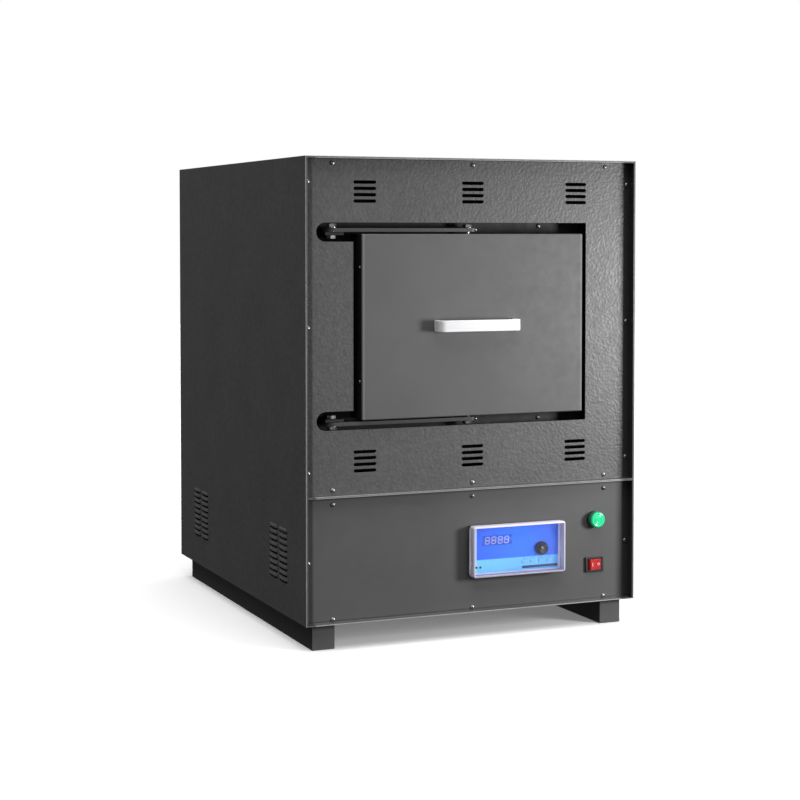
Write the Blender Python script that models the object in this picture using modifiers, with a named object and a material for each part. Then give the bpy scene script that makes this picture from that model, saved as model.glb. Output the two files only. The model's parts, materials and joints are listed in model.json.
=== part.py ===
"""Front-loading electric chamber kiln: a sheet-steel cabinet on two skids, with a fibre-lined chamber behind
a side-hung plug door, and a controller, lamp and rocker switch in the compartment below.

Metres, +Z up. The origin is on the floor under the middle of the cabinet, and the front faces -Y."""

import math

import bmesh
import bpy
from mathutils import Matrix, Vector

# ---------------------------------------------------------------- driving dimensions
WIDTH = 0.558
DEPTH = 0.670
TOP = 0.740
SKID_HEIGHT = 0.040
SHEET = 0.0015
HEAVY_SHEET = 0.002
GAP = 0.0003
REACH = 0.010  # how far a cutter runs past what it cuts
OVERHANG = 0.019  # how far the handle, at the front, and the terminal cover, at the rear, stand out

# front panels
DIVIDER_Z = 0.232
RECESS = 0.015
CUTOUT_HALF = 0.1975
CUTOUT_LOW, CUTOUT_HIGH = 0.330, 0.6415
SLOT_HALF = 0.0143
SLOT_END_X = -0.2425
VENT_X = (-0.179, 0.0, 0.179)
VENT_SIZE = (0.037, 0.005)
VENT_PITCH = 0.0095
VENT_Z = (0.688, 0.282)
VENT_ROWS = 4

# skids and floor
SKID_X = (0.227, 0.2635)
SKID_Y = (-0.317, 0.318)
TRAY_LIP = 0.018
FLOOR_VENT_X = (0.05, 0.07, 0.09, 0.11)
FLOOR_VENT_Y = (-0.10, 0.0)
FLOOR_VENT_WIDTH = 0.006

# side louvres
LOUVRE_Y = (-0.2075, 0.2075)
LOUVRE_COLUMN = 0.0225
LOUVRE_SIZE = (0.040, 0.004)
LOUVRE_ROWS = 9
LOUVRE_Z = 0.1295

# rear
TERMINAL_COVER_HALF = 0.190
TERMINAL_COVER_Z = (0.370, 0.610)
ACCESS_HALF = 0.175
ACCESS_Z = (0.385, 0.595)
REAR_VENT_Z = (0.120, 0.655)
COVER_VENT_X = (-0.12, 0.0, 0.12)
COVER_VENT_Z = (0.400, 0.551)
GLAND_X, GLAND_Z = 0.180, 0.090
GLAND_INSIDE = 0.020
GLAND_HOLE, GLAND_BORE = 0.0104, 0.0045

# deck and rails
DECK_LIP = 0.020
DECK_HOLE_X = (-0.12, 0.12)
DECK_HOLE_Y = (0.285, 0.300)
DECK_HOLE_SIZE = (0.040, 0.008)
RAIL_STARTS = {"left_support_rail": -0.170, "right_support_rail": 0.130}
RAIL_WIDTH = 0.040
RAIL_Y = (-0.270, 0.265)

# door and hinge
DOOR_HALF = 0.187
DOOR_LOW, DOOR_HIGH = 0.3445, 0.6245
DOOR_FRONT, DOOR_BACK = -0.329, -0.285
DOOR_Z = (DOOR_LOW + DOOR_HIGH) / 2
HINGE_X, HINGE_Y = -0.225, -0.300
ARM_WIDTH, ARM_THICK = 0.030, 0.006
ARM_OFFSET = 0.003
BOLT_RADIUS = 0.004
HEX_FLATS = 0.013
BOLT_HEAD, NUT_HEIGHT, PIVOT_HEAD = 0.005, 0.0065, 0.0053
BOLT_TIP = 0.0080
PIVOT_DEPTH = 0.020
LUG_THICK = 0.0045
LUG_HALF, LUG_REACH = 0.015, 0.013
LUG_FOOT_TALL, LUG_FOOT_THICK = 0.028, 0.005
DOOR_ROUNDING = (0.002, 2)
HANDLE_LENGTH, HANDLE_TALL, HANDLE_STRAP = 0.138, 0.0175, 0.006
HANDLE_CORNER = 0.009
HANDLE_LEG_X = HANDLE_LENGTH / 2 - HANDLE_STRAP / 2 - 0.0005

# furnace
MOUTH_Y = -0.281
MOUTH_SHEET = 0.003
MOUTH_HALF = 0.262
MOUTH_LOW, MOUTH_HIGH = 0.268, 0.701
MOUTH_OPENING = (0.150, 0.118)
GASKET_OUTER, GASKET_INNER = (0.162, 0.130), (0.1485, 0.1165)
GASKET_THICK = 0.002
SHELL_HALF = 0.222
SHELL_LOW, SHELL_HIGH = 0.2745, 0.6945
SHELL_BACK = 0.270
CHAMBER_HALF = 0.125
CHAMBER_LOW, CHAMBER_HIGH = 0.3895, 0.5795
CHAMBER_FRONT, CHAMBER_BACK = -0.225, 0.175
PLUG_BASE = (0.140, 0.108)
PLUG_TIP = (0.132, 0.100)
PLUG_TIP_Y = -0.240
THROAT_CLEARANCE = 0.005
COIL_RADIUS = 0.006
COIL_X = CHAMBER_HALF + 0.0065
GROOVE = 0.016
COIL_ROWS = (-0.060, -0.020, 0.020, 0.060)
COIL_LEAD_END = 0.304
COIL_END_ROOM = 0.018
TERMINAL_BACK = 0.290
TERMINAL_HALF, TERMINAL_ROOM = 0.016, 0.020
THERMOCOUPLE_Y, THERMOCOUPLE_Z = 0.125, DOOR_Z + 0.060
THERMOCOUPLE_BORE = 0.0048
HEARTH_HALF = 0.112
HEARTH_Y = (-0.218, 0.168)
HEARTH_THICK = 0.010

# control panel
PANEL_X, PANEL_Z = 0.073, 0.1335
PANEL_WIDTH, PANEL_TALL = 0.160, 0.080
COVER_FRONT = -0.3405
FRAME_FRONT = -0.326
COVER_WALL = 0.002
HINGE_PIN_X, HINGE_PIN_Y = PANEL_X - PANEL_WIDTH / 2, -0.3273
PIN_RADIUS, PIN_BORE, KNUCKLE_RADIUS = 0.0007, 0.0010, 0.0016
KNUCKLE_HALF = 0.020
CASE_HALF = (0.0755, 0.0375)
CASE_BACK = -0.240
PANEL_HOLE_HALF = (0.0762, 0.0381)
KNOB_X, KNOB_Z, KNOB_RADIUS = 0.116, 0.131, 0.011
KNOB_FRONT = FRAME_FRONT - 0.0105
KEY_X = (0.087, 0.1015, 0.116, 0.1305)
KEY_Z = 0.1115
KEY_SIZE = (0.009, 0.005)
DISPLAY_X, DISPLAY_Z = 0.0395, 0.1485
DISPLAY_SIZE = (0.051, 0.015)
LAMP_X, LAMP_Z, LAMP_RADIUS = 0.215, 0.170, 0.013
LAMP_HOLE = 0.0113
LAMP_FRONT = -0.3340
LAMP_FLANGE = 0.0030
LAMP_NUT_FLATS, LAMP_NUT_THICK = 0.027, 0.0052
SWITCH_X, SWITCH_Z = 0.214, 0.0975
SWITCH_SIZE = (0.032, 0.024)
SWITCH_BODY_HALF = (0.0140, 0.0100)
SWITCH_BACK = -0.298
SWITCH_POCKET_BACK = -0.303
ROCKER_HALF = (0.0104, 0.0084)
ROCKER_TILT = math.radians(9.0)
ROCKER_AXIS_Y = -0.3190

FRONT = -DEPTH / 2
BACK = DEPTH / 2
SIDE = WIDTH / 2
INNER_SIDE = SIDE - SHEET - GAP
INNER_TOP = TOP - SHEET - GAP
FASCIA_Y = FRONT + RECESS
FASCIA_BACK = FASCIA_Y + SHEET
PLATE_Z = SKID_HEIGHT

# ---------------------------------------------------------------- scene and materials
for old in list(bpy.data.objects):
    bpy.data.objects.remove(old, do_unlink=True)

PARTS = bpy.data.collections.new("chamber_kiln")
CUTTERS = bpy.data.collections.new("cutters")
for group in (PARTS, CUTTERS):
    bpy.context.scene.collection.children.link(group)


def material(name, colour, roughness, metallic=0.0, alpha=1.0):
    made = bpy.data.materials.new(name)
    made.use_nodes = True
    shader = made.node_tree.nodes["Principled BSDF"]
    shader.inputs["Base Color"].default_value = (*colour, 1.0)
    shader.inputs["Roughness"].default_value = roughness
    shader.inputs["Metallic"].default_value = metallic
    shader.inputs["Alpha"].default_value = alpha
    made.diffuse_color = (*colour, alpha)
    return made


CASING = material("casing_paint", (0.065, 0.065, 0.068), 0.45, 0.1)
DOOR_PAINT = material("door_paint", (0.085, 0.085, 0.088), 0.40, 0.1)
BLACK_STEEL = material("black_steel", (0.012, 0.012, 0.013), 0.55, 0.2)
ZINC = material("zinc_plate", (0.55, 0.55, 0.57), 0.30, 1.0)
GALVANISED = material("galvanised_sheet", (0.45, 0.46, 0.48), 0.45, 1.0)
FIBRE = material("fibre_board", (0.80, 0.77, 0.70), 0.95)
CERAMIC = material("white_ceramic", (0.82, 0.80, 0.74), 0.55)
HEARTH = material("silicon_carbide", (0.09, 0.09, 0.10), 0.75)
WIRE = material("resistance_wire", (0.20, 0.17, 0.15), 0.50, 0.8)
ALUMINIUM = material("satin_aluminium", (0.80, 0.81, 0.83), 0.28, 1.0)
BLACK_PLASTIC = material("black_plastic", (0.015, 0.015, 0.016), 0.40)
BLUE_LABEL = material("blue_label", (0.03, 0.13, 0.80), 0.35)
DISPLAY_BLUE = material("display_window", (0.03, 0.13, 0.62), 0.15)
CLEAR = material("clear_cover", (0.88, 0.88, 0.95), 0.08, 0.0, 0.30)
GREEN_LENS = material("green_lens", (0.02, 0.62, 0.26), 0.20)
RED_PLASTIC = material("red_rocker", (0.80, 0.03, 0.03), 0.25)
KEY_RUBBER = material("key_rubber", (0.16, 0.46, 0.78), 0.60)


# ---------------------------------------------------------------- modelling helpers
def smooth(mesh, angle=35):
    """Shades a mesh smooth where its faces meet at less than the angle."""
    mesh.shade_smooth()
    mesh.set_sharp_from_angle(angle=math.radians(angle))


def add(name, mesh, finish=None, group=None):
    """An object for a mesh, among the parts if it has a finish and among the cutters if it has none."""
    made = bpy.data.objects.new(name, mesh)
    smooth(mesh)
    if finish:
        mesh.materials.clear()
        mesh.materials.append(finish)
        PARTS.objects.link(made)
    else:
        CUTTERS.objects.link(made)
        made.hide_render = True
        made.display_type = "WIRE"
    if group:
        made.parent = group
        made.matrix_parent_inverse = group.matrix_world.inverted()
    return made


def from_bmesh(name, bm, finish=None, group=None):
    mesh = bpy.data.meshes.new(name)
    bm.to_mesh(mesh)
    bm.free()
    return add(name, mesh, finish, group)


def add_box(bm, low, high):
    size = Vector(high) - Vector(low)
    middle = (Vector(high) + Vector(low)) / 2
    frame = Matrix.Translation(middle) @ Matrix.Diagonal((*size, 1.0))
    return bmesh.ops.create_cube(bm, size=1.0, matrix=frame)["verts"]


def box(name, low, high, finish=None, group=None):
    bm = bmesh.new()
    add_box(bm, low, high)
    return from_bmesh(name, bm, finish, group)


def boxes(name, corners):
    """One cutter made of several separate boxes."""
    bm = bmesh.new()
    for low, high in corners:
        add_box(bm, low, high)
    return from_bmesh(name, bm)


TURNS = {
    "X": Matrix.Rotation(math.radians(90), 4, "Y"),
    "Y": Matrix.Rotation(math.radians(-90), 4, "X"),
    "Z": Matrix.Identity(4),
}


def add_cylinder(bm, start, length, radius, axis="Z", segments=20, far_radius=None):
    """A cylinder or cone from start, length along +axis."""
    far = radius if far_radius is None else far_radius
    frame = Matrix.Translation(start) @ TURNS[axis] @ Matrix.Translation((0, 0, length / 2))
    bmesh.ops.create_cone(
        bm, cap_ends=True, segments=segments, radius1=radius, radius2=far, depth=length, matrix=frame
    )


def cylinder(name, start, length, radius, axis="Z", segments=20, finish=None, group=None):
    bm = bmesh.new()
    add_cylinder(bm, start, length, radius, axis, segments)
    return from_bmesh(name, bm, finish, group)


def boolean(target, other, operation):
    """Cut or join with another object, which becomes a helper that isn't part of the kiln."""
    step = target.modifiers.new(operation.lower(), "BOOLEAN")
    step.operation = operation
    step.solver = "EXACT"
    step.object = other
    return target


def cut(target, *others):
    for other in others:
        boolean(target, other, "DIFFERENCE")
    return target


def join(target, *others):
    for other in others:
        boolean(target, other, "UNION")
    return target


def solidify(target, thickness):
    """Give an open surface its thickness, inwards."""
    step = target.modifiers.new("sheet", "SOLIDIFY")
    step.thickness = thickness
    step.offset = -1.0
    step.use_even_offset = True
    return target


def bevel(target, width, segments=1, angle=50):
    step = target.modifiers.new("edges", "BEVEL")
    step.width = width
    step.segments = segments
    step.limit_method = "ANGLE"
    step.angle_limit = math.radians(angle)
    step.use_clamp_overlap = True
    return target


def pan(name, low, high, open_sides, thickness, finish=None, group=None, rounding=None):
    """A folded sheet box that lacks the faces pointing along open_sides. rounding is the outer bend radius and
    its number of segments."""
    bm = bmesh.new()
    add_box(bm, low, high)
    bmesh.ops.recalc_face_normals(bm, faces=bm.faces)
    gone = [f for f in bm.faces if any(f.normal.dot(Vector(side)) > 0.9 for side in open_sides)]
    bmesh.ops.delete(bm, geom=gone, context="FACES")
    made = from_bmesh(name, bm, finish, group)
    if rounding:
        bevel(made, *rounding)
    return solidify(made, thickness)


def arc(centre, radius, start, end, steps):
    """Points along an arc, in degrees."""
    return [
        (
            centre[0] + radius * math.cos(math.radians(start + (end - start) * i / steps)),
            centre[1] + radius * math.sin(math.radians(start + (end - start) * i / steps)),
        )
        for i in range(steps + 1)
    ]


Y_AND_Z_TO_X = Matrix(((0, 0, 1, 0), (1, 0, 0, 0), (0, 1, 0, 0), (0, 0, 0, 1)))


def prism(name, outline, low, high, axis="Z", finish=None, group=None):
    """A flat outline as a filled curve, pushed out along an axis from low to high. The outline is (x, y) for Z,
    (x, z) for Y and (y, z) for X."""
    curve = bpy.data.curves.new(name, "CURVE")
    curve.dimensions = "2D"
    curve.fill_mode = "BOTH"
    curve.extrude = (high - low) / 2
    spline = curve.splines.new("POLY")
    spline.points.add(len(outline) - 1)
    for point, (a, b) in zip(spline.points, outline):
        point.co = (a, b, 0, 1)
    spline.use_cyclic_u = True
    middle = (low + high) / 2
    stand = {
        "Z": Matrix.Translation((0, 0, middle)),
        "Y": Matrix.Translation((0, middle, 0)) @ Matrix.Rotation(math.radians(90), 4, "X"),
        "X": Matrix.Translation((middle, 0, 0)) @ Y_AND_Z_TO_X,
    }[axis]
    return solid_from_curve(name, curve, stand, finish, group)


def solid_from_curve(name, curve, stand, finish=None, group=None):
    """The curve's mesh, with its caps welded on, in world space."""
    guide = bpy.data.objects.new(name + "_curve", curve)
    CUTTERS.objects.link(guide)
    bpy.context.view_layer.update()
    graph = bpy.context.evaluated_depsgraph_get()
    mesh = bpy.data.meshes.new_from_object(guide.evaluated_get(graph))
    mesh.name = name
    bpy.data.objects.remove(guide)
    bm = bmesh.new()
    bm.from_mesh(mesh)
    bmesh.ops.remove_doubles(bm, verts=bm.verts, dist=0.000001)
    bmesh.ops.transform(bm, matrix=stand, verts=bm.verts)
    bmesh.ops.recalc_face_normals(bm, faces=bm.faces)
    bm.to_mesh(mesh)
    bm.free()
    return add(name, mesh, finish, group)


def tube(name, points, radius, finish, group=None, resolution=2):
    """A round wire or tube along a row of points."""
    curve = bpy.data.curves.new(name, "CURVE")
    curve.dimensions = "3D"
    curve.bevel_depth = radius
    curve.bevel_resolution = resolution
    curve.use_fill_caps = True
    spline = curve.splines.new("POLY")
    spline.points.add(len(points) - 1)
    for point, place in zip(spline.points, points):
        point.co = (*place, 1)
    return solid_from_curve(name, curve, Matrix.Identity(4), finish, group)


def turned(name, profile, place, axis, finish, group=None, steps=24):
    """A solid of revolution. The profile is (radius, distance along the axis), from the far end back to the
    start, and both ends lie on the axis."""
    mesh = bpy.data.meshes.new(name)
    points = [(radius, 0.0, along) for radius, along in profile]
    mesh.from_pydata(points, [(i, i + 1) for i in range(len(points) - 1)], [])
    made = add(name, mesh, finish, group)
    made.matrix_world = Matrix.Translation(place) @ TURNS[axis]
    screw = made.modifiers.new("turn", "SCREW")
    screw.axis = "Z"
    screw.angle = math.radians(360)
    screw.steps = steps
    screw.render_steps = steps
    screw.use_merge_vertices = True
    screw.merge_threshold = 0.00001
    return made


def round_slot(width, height, centre, steps=4):
    """A slot outline with full round ends."""
    half = width / 2 - height / 2
    return arc((centre[0] + half, centre[1]), height / 2, -90, 90, steps) + arc(
        (centre[0] - half, centre[1]), height / 2, 90, 270, steps
    )


def add_prism(bm, outline, low, high):
    """Adds an outline in X and Z, pushed out along Y from low to high."""
    front = [bm.verts.new((a, low, b)) for a, b in outline]
    face = bm.faces.new(front)
    pushed = bmesh.ops.extrude_face_region(bm, geom=[face])["geom"]
    moved = [v for v in pushed if isinstance(v, bmesh.types.BMVert)]
    bmesh.ops.translate(bm, verts=moved, vec=(0, high - low, 0))


def around(x, y, z, half, reach=REACH):
    """The corners of a box centred on a point, with its half sizes in X and Z."""
    return ((x - half[0], y - reach, z - half[1]), (x + half[0], y + reach, z + half[1]))


def slot_cutters(name, slots, low, high):
    bm = bmesh.new()
    for outline in slots:
        add_prism(bm, outline, low, high)
    bmesh.ops.recalc_face_normals(bm, faces=bm.faces)
    return from_bmesh(name, bm)


def pivot(name, place):
    empty = bpy.data.objects.new(name, None)
    empty.location = place
    empty.empty_display_size = 0.03
    PARTS.objects.link(empty)
    bpy.context.view_layer.update()
    return empty


def rounded_rectangle(low, high, radius, steps=2):
    """An outline with round corners, between its lowest and highest points."""
    return (
        arc((high[0] - radius, low[1] + radius), radius, -90, 0, steps)
        + arc((high[0] - radius, high[1] - radius), radius, 0, 90, steps)
        + arc((low[0] + radius, high[1] - radius), radius, 90, 180, steps)
        + arc((low[0] + radius, low[1] + radius), radius, 180, 270, steps)
    )


def hexagon(across_flats, centre=(0.0, 0.0)):
    return arc(centre, across_flats / math.sqrt(3), 0, 300, 5)


# ---------------------------------------------------------------- cabinet
def make_wrap():
    """Both sides and the top, folded from one sheet, with the louvres cut low in each side."""
    wrap = pan(
        "outer_wrap",
        (-SIDE, FRONT, SKID_HEIGHT),
        (SIDE, BACK, TOP),
        ((0, -1, 0), (0, 1, 0), (0, 0, -1)),
        SHEET,
        CASING,
    )
    half = Vector((REACH, LOUVRE_SIZE[0] / 2, LOUVRE_SIZE[1] / 2))
    middles = [
        Vector((side, group_y + column, LOUVRE_Z + (row - (LOUVRE_ROWS - 1) / 2) * VENT_PITCH))
        for side in (-SIDE, SIDE)
        for group_y in LOUVRE_Y
        for column in (-LOUVRE_COLUMN, LOUVRE_COLUMN)
        for row in range(LOUVRE_ROWS)
    ]
    return cut(wrap, boxes("louvre_cutter", [(middle - half, middle + half) for middle in middles]))


def make_floor_and_skids():
    tray = pan(
        "base_plate",
        (-INNER_SIDE, FASCIA_BACK + GAP, PLATE_Z),
        (INNER_SIDE, BACK - SHEET - GAP, PLATE_Z + TRAY_LIP),
        ((0, 0, 1),),
        SHEET,
        GALVANISED,
    )
    vents = [
        ((x, FLOOR_VENT_Y[0], PLATE_Z - REACH), (x + FLOOR_VENT_WIDTH, FLOOR_VENT_Y[1], PLATE_Z + REACH))
        for x in FLOOR_VENT_X
    ]
    cut(tray, boxes("floor_vent_cutter", vents))
    for name, side in (("left_skid", -1), ("right_skid", 1)):
        low, high = sorted(side * x for x in SKID_X)
        pan(
            name,
            (low, SKID_Y[0], 0.0),
            (high, SKID_Y[1], SKID_HEIGHT - GAP),
            ((0, 0, 1),),
            HEAVY_SHEET,
            CASING,
        )


def door_opening():
    """The door cutout with the two hinge-arm slots that run off its left side, as one outline in X and Z."""
    top_z = CUTOUT_HIGH - SLOT_HALF
    low_z = CUTOUT_LOW + SLOT_HALF
    return (
        [(CUTOUT_HALF, CUTOUT_LOW), (CUTOUT_HALF, CUTOUT_HIGH)]
        + arc((SLOT_END_X, top_z), SLOT_HALF, 90, 270, 10)
        + [(-CUTOUT_HALF, top_z - SLOT_HALF), (-CUTOUT_HALF, low_z + SLOT_HALF)]
        + arc((SLOT_END_X, low_z), SLOT_HALF, 90, 270, 10)
    )


def make_upper_fascia():
    fascia = pan(
        "upper_fascia",
        (-INNER_SIDE, FRONT, DIVIDER_Z + GAP / 2),
        (INNER_SIDE, FASCIA_BACK, INNER_TOP),
        ((0, -1, 0),),
        SHEET,
        CASING,
    )
    slots = [door_opening()]
    for z_middle in VENT_Z:
        for x in VENT_X:
            for row in range(VENT_ROWS):
                z = z_middle + (row - (VENT_ROWS - 1) / 2) * VENT_PITCH
                slots.append(round_slot(*VENT_SIZE, (x, z)))
    return cut(fascia, slot_cutters("fascia_cutter", slots, FASCIA_Y - REACH / 2, FASCIA_BACK + REACH / 2))


def make_lower_fascia():
    fascia = pan(
        "lower_fascia",
        (-INNER_SIDE, FRONT, SKID_HEIGHT),
        (INNER_SIDE, FASCIA_BACK, DIVIDER_Z - GAP / 2),
        ((0, -1, 0),),
        SHEET,
        CASING,
    )
    switch_half = [half + GAP for half in SWITCH_BODY_HALF]
    openings = boxes(
        "control_cutter",
        [
            around(PANEL_X, FASCIA_Y, PANEL_Z, PANEL_HOLE_HALF),
            around(SWITCH_X, FASCIA_Y, SWITCH_Z, switch_half),
        ],
    )
    lamp_hole = cylinder("lamp_hole_cutter", (LAMP_X, FASCIA_Y - REACH, LAMP_Z), 2 * REACH, LAMP_HOLE, "Y")
    return cut(fascia, openings, lamp_hole)


def make_rear():
    rear = box("rear_panel", (-INNER_SIDE, BACK - SHEET, SKID_HEIGHT), (INNER_SIDE, BACK, INNER_TOP), CASING)
    low, high = ACCESS_Z
    access = box("rear_access_cutter", (-ACCESS_HALF, BACK - REACH, low), (ACCESS_HALF, BACK + REACH, high))
    gland = cylinder("rear_gland_cutter", (GLAND_X, BACK - REACH, GLAND_Z), 2 * REACH, GLAND_HOLE, "Y")
    # The lower right vent gives way to the cable gland.
    places = [(x, z) for x in VENT_X for z in REAR_VENT_Z if (x, z) != (VENT_X[-1], REAR_VENT_Z[0])]
    vents = [
        round_slot(*VENT_SIZE, (x, z + row * VENT_PITCH)) for x, z in places for row in range(VENT_ROWS)
    ]
    cut(rear, access, gland, slot_cutters("rear_vent_cutter", vents, BACK - REACH, BACK + REACH))
    low, high = TERMINAL_COVER_Z
    cover = pan(
        "rear_terminal_cover",
        (-TERMINAL_COVER_HALF, BACK + GAP, low),
        (TERMINAL_COVER_HALF, BACK + OVERHANG, high),
        ((0, -1, 0),),
        SHEET,
        CASING,
    )
    slots = [
        round_slot(*VENT_SIZE, (x, z + row * VENT_PITCH))
        for x in COVER_VENT_X
        for z in COVER_VENT_Z
        for row in range(VENT_ROWS)
    ]
    wall = BACK + OVERHANG
    cut(cover, slot_cutters("cover_vent_cutter", slots, wall - REACH, wall + REACH))
    inlet = turned(
        "cable_gland",
        [
            (0.0, 0.0387),
            (0.0098, 0.0387),
            (0.0120, 0.0347),
            (0.0130, 0.0287),
            (0.0130, 0.0200),
            (0.0100, 0.0200),
            (0.0100, 0.0),
            (0.0, 0.0),
        ],
        (GLAND_X, BACK + GAP - GLAND_INSIDE, GLAND_Z),
        "Y",
        BLACK_PLASTIC,
    )
    cut(inlet, cylinder("gland_bore_cutter", (GLAND_X, BACK - 0.05, GLAND_Z), 0.10, GLAND_BORE, "Y", 16))


def make_deck():
    """The shelf between the furnace and the electrical compartment, with its ends turned down."""
    deck = pan(
        "mid_deck",
        (-INNER_SIDE, FASCIA_BACK + GAP, DIVIDER_Z - DECK_LIP),
        (INNER_SIDE, BACK - SHEET - GAP, DIVIDER_Z),
        ((0, 0, -1), (0, -1, 0), (0, 1, 0)),
        SHEET,
        GALVANISED,
    )
    half, deep = DECK_HOLE_SIZE[0] / 2, DECK_HOLE_SIZE[1]
    holes = [
        ((x - half, y, DIVIDER_Z - REACH), (x + half, y + deep, DIVIDER_Z + REACH))
        for x in DECK_HOLE_X
        for y in DECK_HOLE_Y
    ]
    cut(deck, boxes("deck_cable_cutter", holes))
    for name, x in RAIL_STARTS.items():
        pan(
            name,
            (x, RAIL_Y[0], DIVIDER_Z + GAP),
            (x + RAIL_WIDTH, RAIL_Y[1], SHELL_LOW - GAP),
            ((0, 0, -1), (0, -1, 0), (0, 1, 0)),
            HEAVY_SHEET,
            GALVANISED,
        )


# ---------------------------------------------------------------- furnace
def frustum(name, near, far, near_y, far_y, centre_z=DOOR_Z):
    """A four-sided tapered block between two half sizes (x, z)."""
    bm = bmesh.new()
    low = (-near[0], near_y, centre_z - near[1])
    high = (near[0], far_y, centre_z + near[1])
    for vert in add_box(bm, low, high):
        if abs(vert.co.y - far_y) < 1e-6:
            vert.co.x *= far[0] / near[0]
            vert.co.z = centre_z + (vert.co.z - centre_z) * far[1] / near[1]
    return from_bmesh(name, bm)


def make_mouth():
    plate = box(
        "mouth_plate",
        (-MOUTH_HALF, MOUTH_Y, MOUTH_LOW),
        (MOUTH_HALF, MOUTH_Y + MOUTH_SHEET, MOUTH_HIGH),
        BLACK_STEEL,
    )
    cut(plate, boxes("mouth_cutter", [around(0.0, MOUTH_Y, DOOR_Z, MOUTH_OPENING)]))
    half_x, half_z = GASKET_OUTER
    gasket = box(
        "door_gasket",
        (-half_x, MOUTH_Y - GAP - GASKET_THICK, DOOR_Z - half_z),
        (half_x, MOUTH_Y - GAP, DOOR_Z + half_z),
        FIBRE,
    )
    cut(gasket, boxes("gasket_cutter", [around(0.0, MOUTH_Y, DOOR_Z, GASKET_INNER)]))
    throat = box(
        "throat_ring",
        (-SHELL_HALF + SHEET + GAP, MOUTH_Y + MOUTH_SHEET + GAP, SHELL_LOW + SHEET + GAP),
        (SHELL_HALF - SHEET - GAP, CHAMBER_FRONT - GAP, SHELL_HIGH - SHEET - GAP),
        FIBRE,
    )
    near = [size + THROAT_CLEARANCE + 0.001 for size in PLUG_BASE]
    far = [size + THROAT_CLEARANCE - 0.003 for size in PLUG_TIP]
    cut(throat, frustum("throat_cutter", near, far, MOUTH_Y - 0.001, CHAMBER_FRONT + 0.001))


def make_shell():
    shell = pan(
        "furnace_shell",
        (-SHELL_HALF, MOUTH_Y + MOUTH_SHEET + GAP, SHELL_LOW),
        (SHELL_HALF, SHELL_BACK, SHELL_HIGH),
        ((0, -1, 0),),
        SHEET,
        GALVANISED,
    )
    bm = bmesh.new()
    for x in (-COIL_X, COIL_X):
        for z in (COIL_ROWS[0], COIL_ROWS[-1]):
            add_cylinder(bm, (x, SHELL_BACK - REACH, DOOR_Z + z), 2 * REACH, COIL_RADIUS + 0.003, "Y", 16)
    add_cylinder(bm, (0, SHELL_BACK - REACH, THERMOCOUPLE_Z), 2 * REACH, 0.007, "Y", 16)
    cut(shell, from_bmesh("shell_cutter", bm))


def make_insulation():
    inner = SHELL_HALF - SHEET - GAP
    low, high = SHELL_LOW + SHEET + GAP, SHELL_HIGH - SHEET - GAP
    back = SHELL_BACK - SHEET - GAP
    box("insulation_floor", (-inner, CHAMBER_FRONT, low), (inner, back, CHAMBER_LOW), FIBRE)
    box("insulation_roof", (-inner, CHAMBER_FRONT, CHAMBER_HIGH), (inner, back, high), FIBRE)
    rear = box(
        "insulation_rear",
        (-CHAMBER_HALF + GAP, CHAMBER_BACK, CHAMBER_LOW + GAP),
        (CHAMBER_HALF - GAP, back, CHAMBER_HIGH - GAP),
        FIBRE,
    )
    cut(rear, cylinder("thermocouple_bore", (0, 0.1, THERMOCOUPLE_Z), 0.2, THERMOCOUPLE_BORE, "Y", 16))
    for name, side in (("insulation_left", -1), ("insulation_right", 1)):
        ends = sorted((side * CHAMBER_HALF, side * inner))
        board = box(
            name,
            (ends[0], CHAMBER_FRONT, CHAMBER_LOW + GAP),
            (ends[1], back, CHAMBER_HIGH - GAP),
            FIBRE,
        )
        cut(board, groove_cutter(name + "_groove", side))


def groove_cutter(name, side):
    """The comb of coil grooves in a side board. The top and bottom grooves run out at the back for the leads,
    and a short upright groove joins each pair where the coil turns."""
    ends = sorted((side * (CHAMBER_HALF - REACH), side * (COIL_X + GROOVE / 2)))
    half = GROOVE / 2
    front_end = CHAMBER_FRONT + COIL_END_ROOM - half
    back_end = CHAMBER_BACK - COIL_END_ROOM + half
    lead_end = SHELL_BACK + REACH
    rows = [DOOR_Z + z for z in COIL_ROWS]
    outline = [(front_end, rows[0] - half), (lead_end, rows[0] - half), (lead_end, rows[0] + half)]
    outline += [(front_end + GROOVE, rows[0] + half), (front_end + GROOVE, rows[1] - half)]
    outline += [(back_end, rows[1] - half), (back_end, rows[2] + half)]
    outline += [(front_end + GROOVE, rows[2] + half), (front_end + GROOVE, rows[3] - half)]
    outline += [(lead_end, rows[3] - half), (lead_end, rows[3] + half), (front_end, rows[3] + half)]
    outline += [(front_end, rows[2] - half), (back_end - GROOVE, rows[2] - half)]
    outline += [(back_end - GROOVE, rows[1] + half), (front_end, rows[1] + half)]
    return prism(name, outline, *ends, "X")


def make_elements():
    front_run = CHAMBER_FRONT + COIL_END_ROOM
    back_run = CHAMBER_BACK - COIL_END_ROOM
    rows = [DOOR_Z + z for z in COIL_ROWS]
    route = [(COIL_LEAD_END, rows[0]), (front_run, rows[0]), (front_run, rows[1]), (back_run, rows[1])]
    route += [(back_run, rows[2]), (front_run, rows[2]), (front_run, rows[3]), (COIL_LEAD_END, rows[3])]
    for name, side in (("heating_element_left", -1), ("heating_element_right", 1)):
        tube(name, [(side * COIL_X, y, z) for y, z in route], COIL_RADIUS, WIRE)
    for name, side in (("element_terminals_left", -1), ("element_terminals_right", 1)):
        x = side * COIL_X
        block = box(
            name,
            (x - TERMINAL_HALF, SHELL_BACK + GAP, rows[0] - TERMINAL_ROOM),
            (x + TERMINAL_HALF, TERMINAL_BACK, rows[3] + TERMINAL_ROOM),
            CERAMIC,
        )
        bm = bmesh.new()
        for z in (rows[0], rows[3]):
            add_cylinder(bm, (x, SHELL_BACK - REACH, z), 0.05, COIL_RADIUS + 0.0008, "Y", 16)
        cut(bevel(block, 0.002), from_bmesh(name + "_bore", bm))


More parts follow.
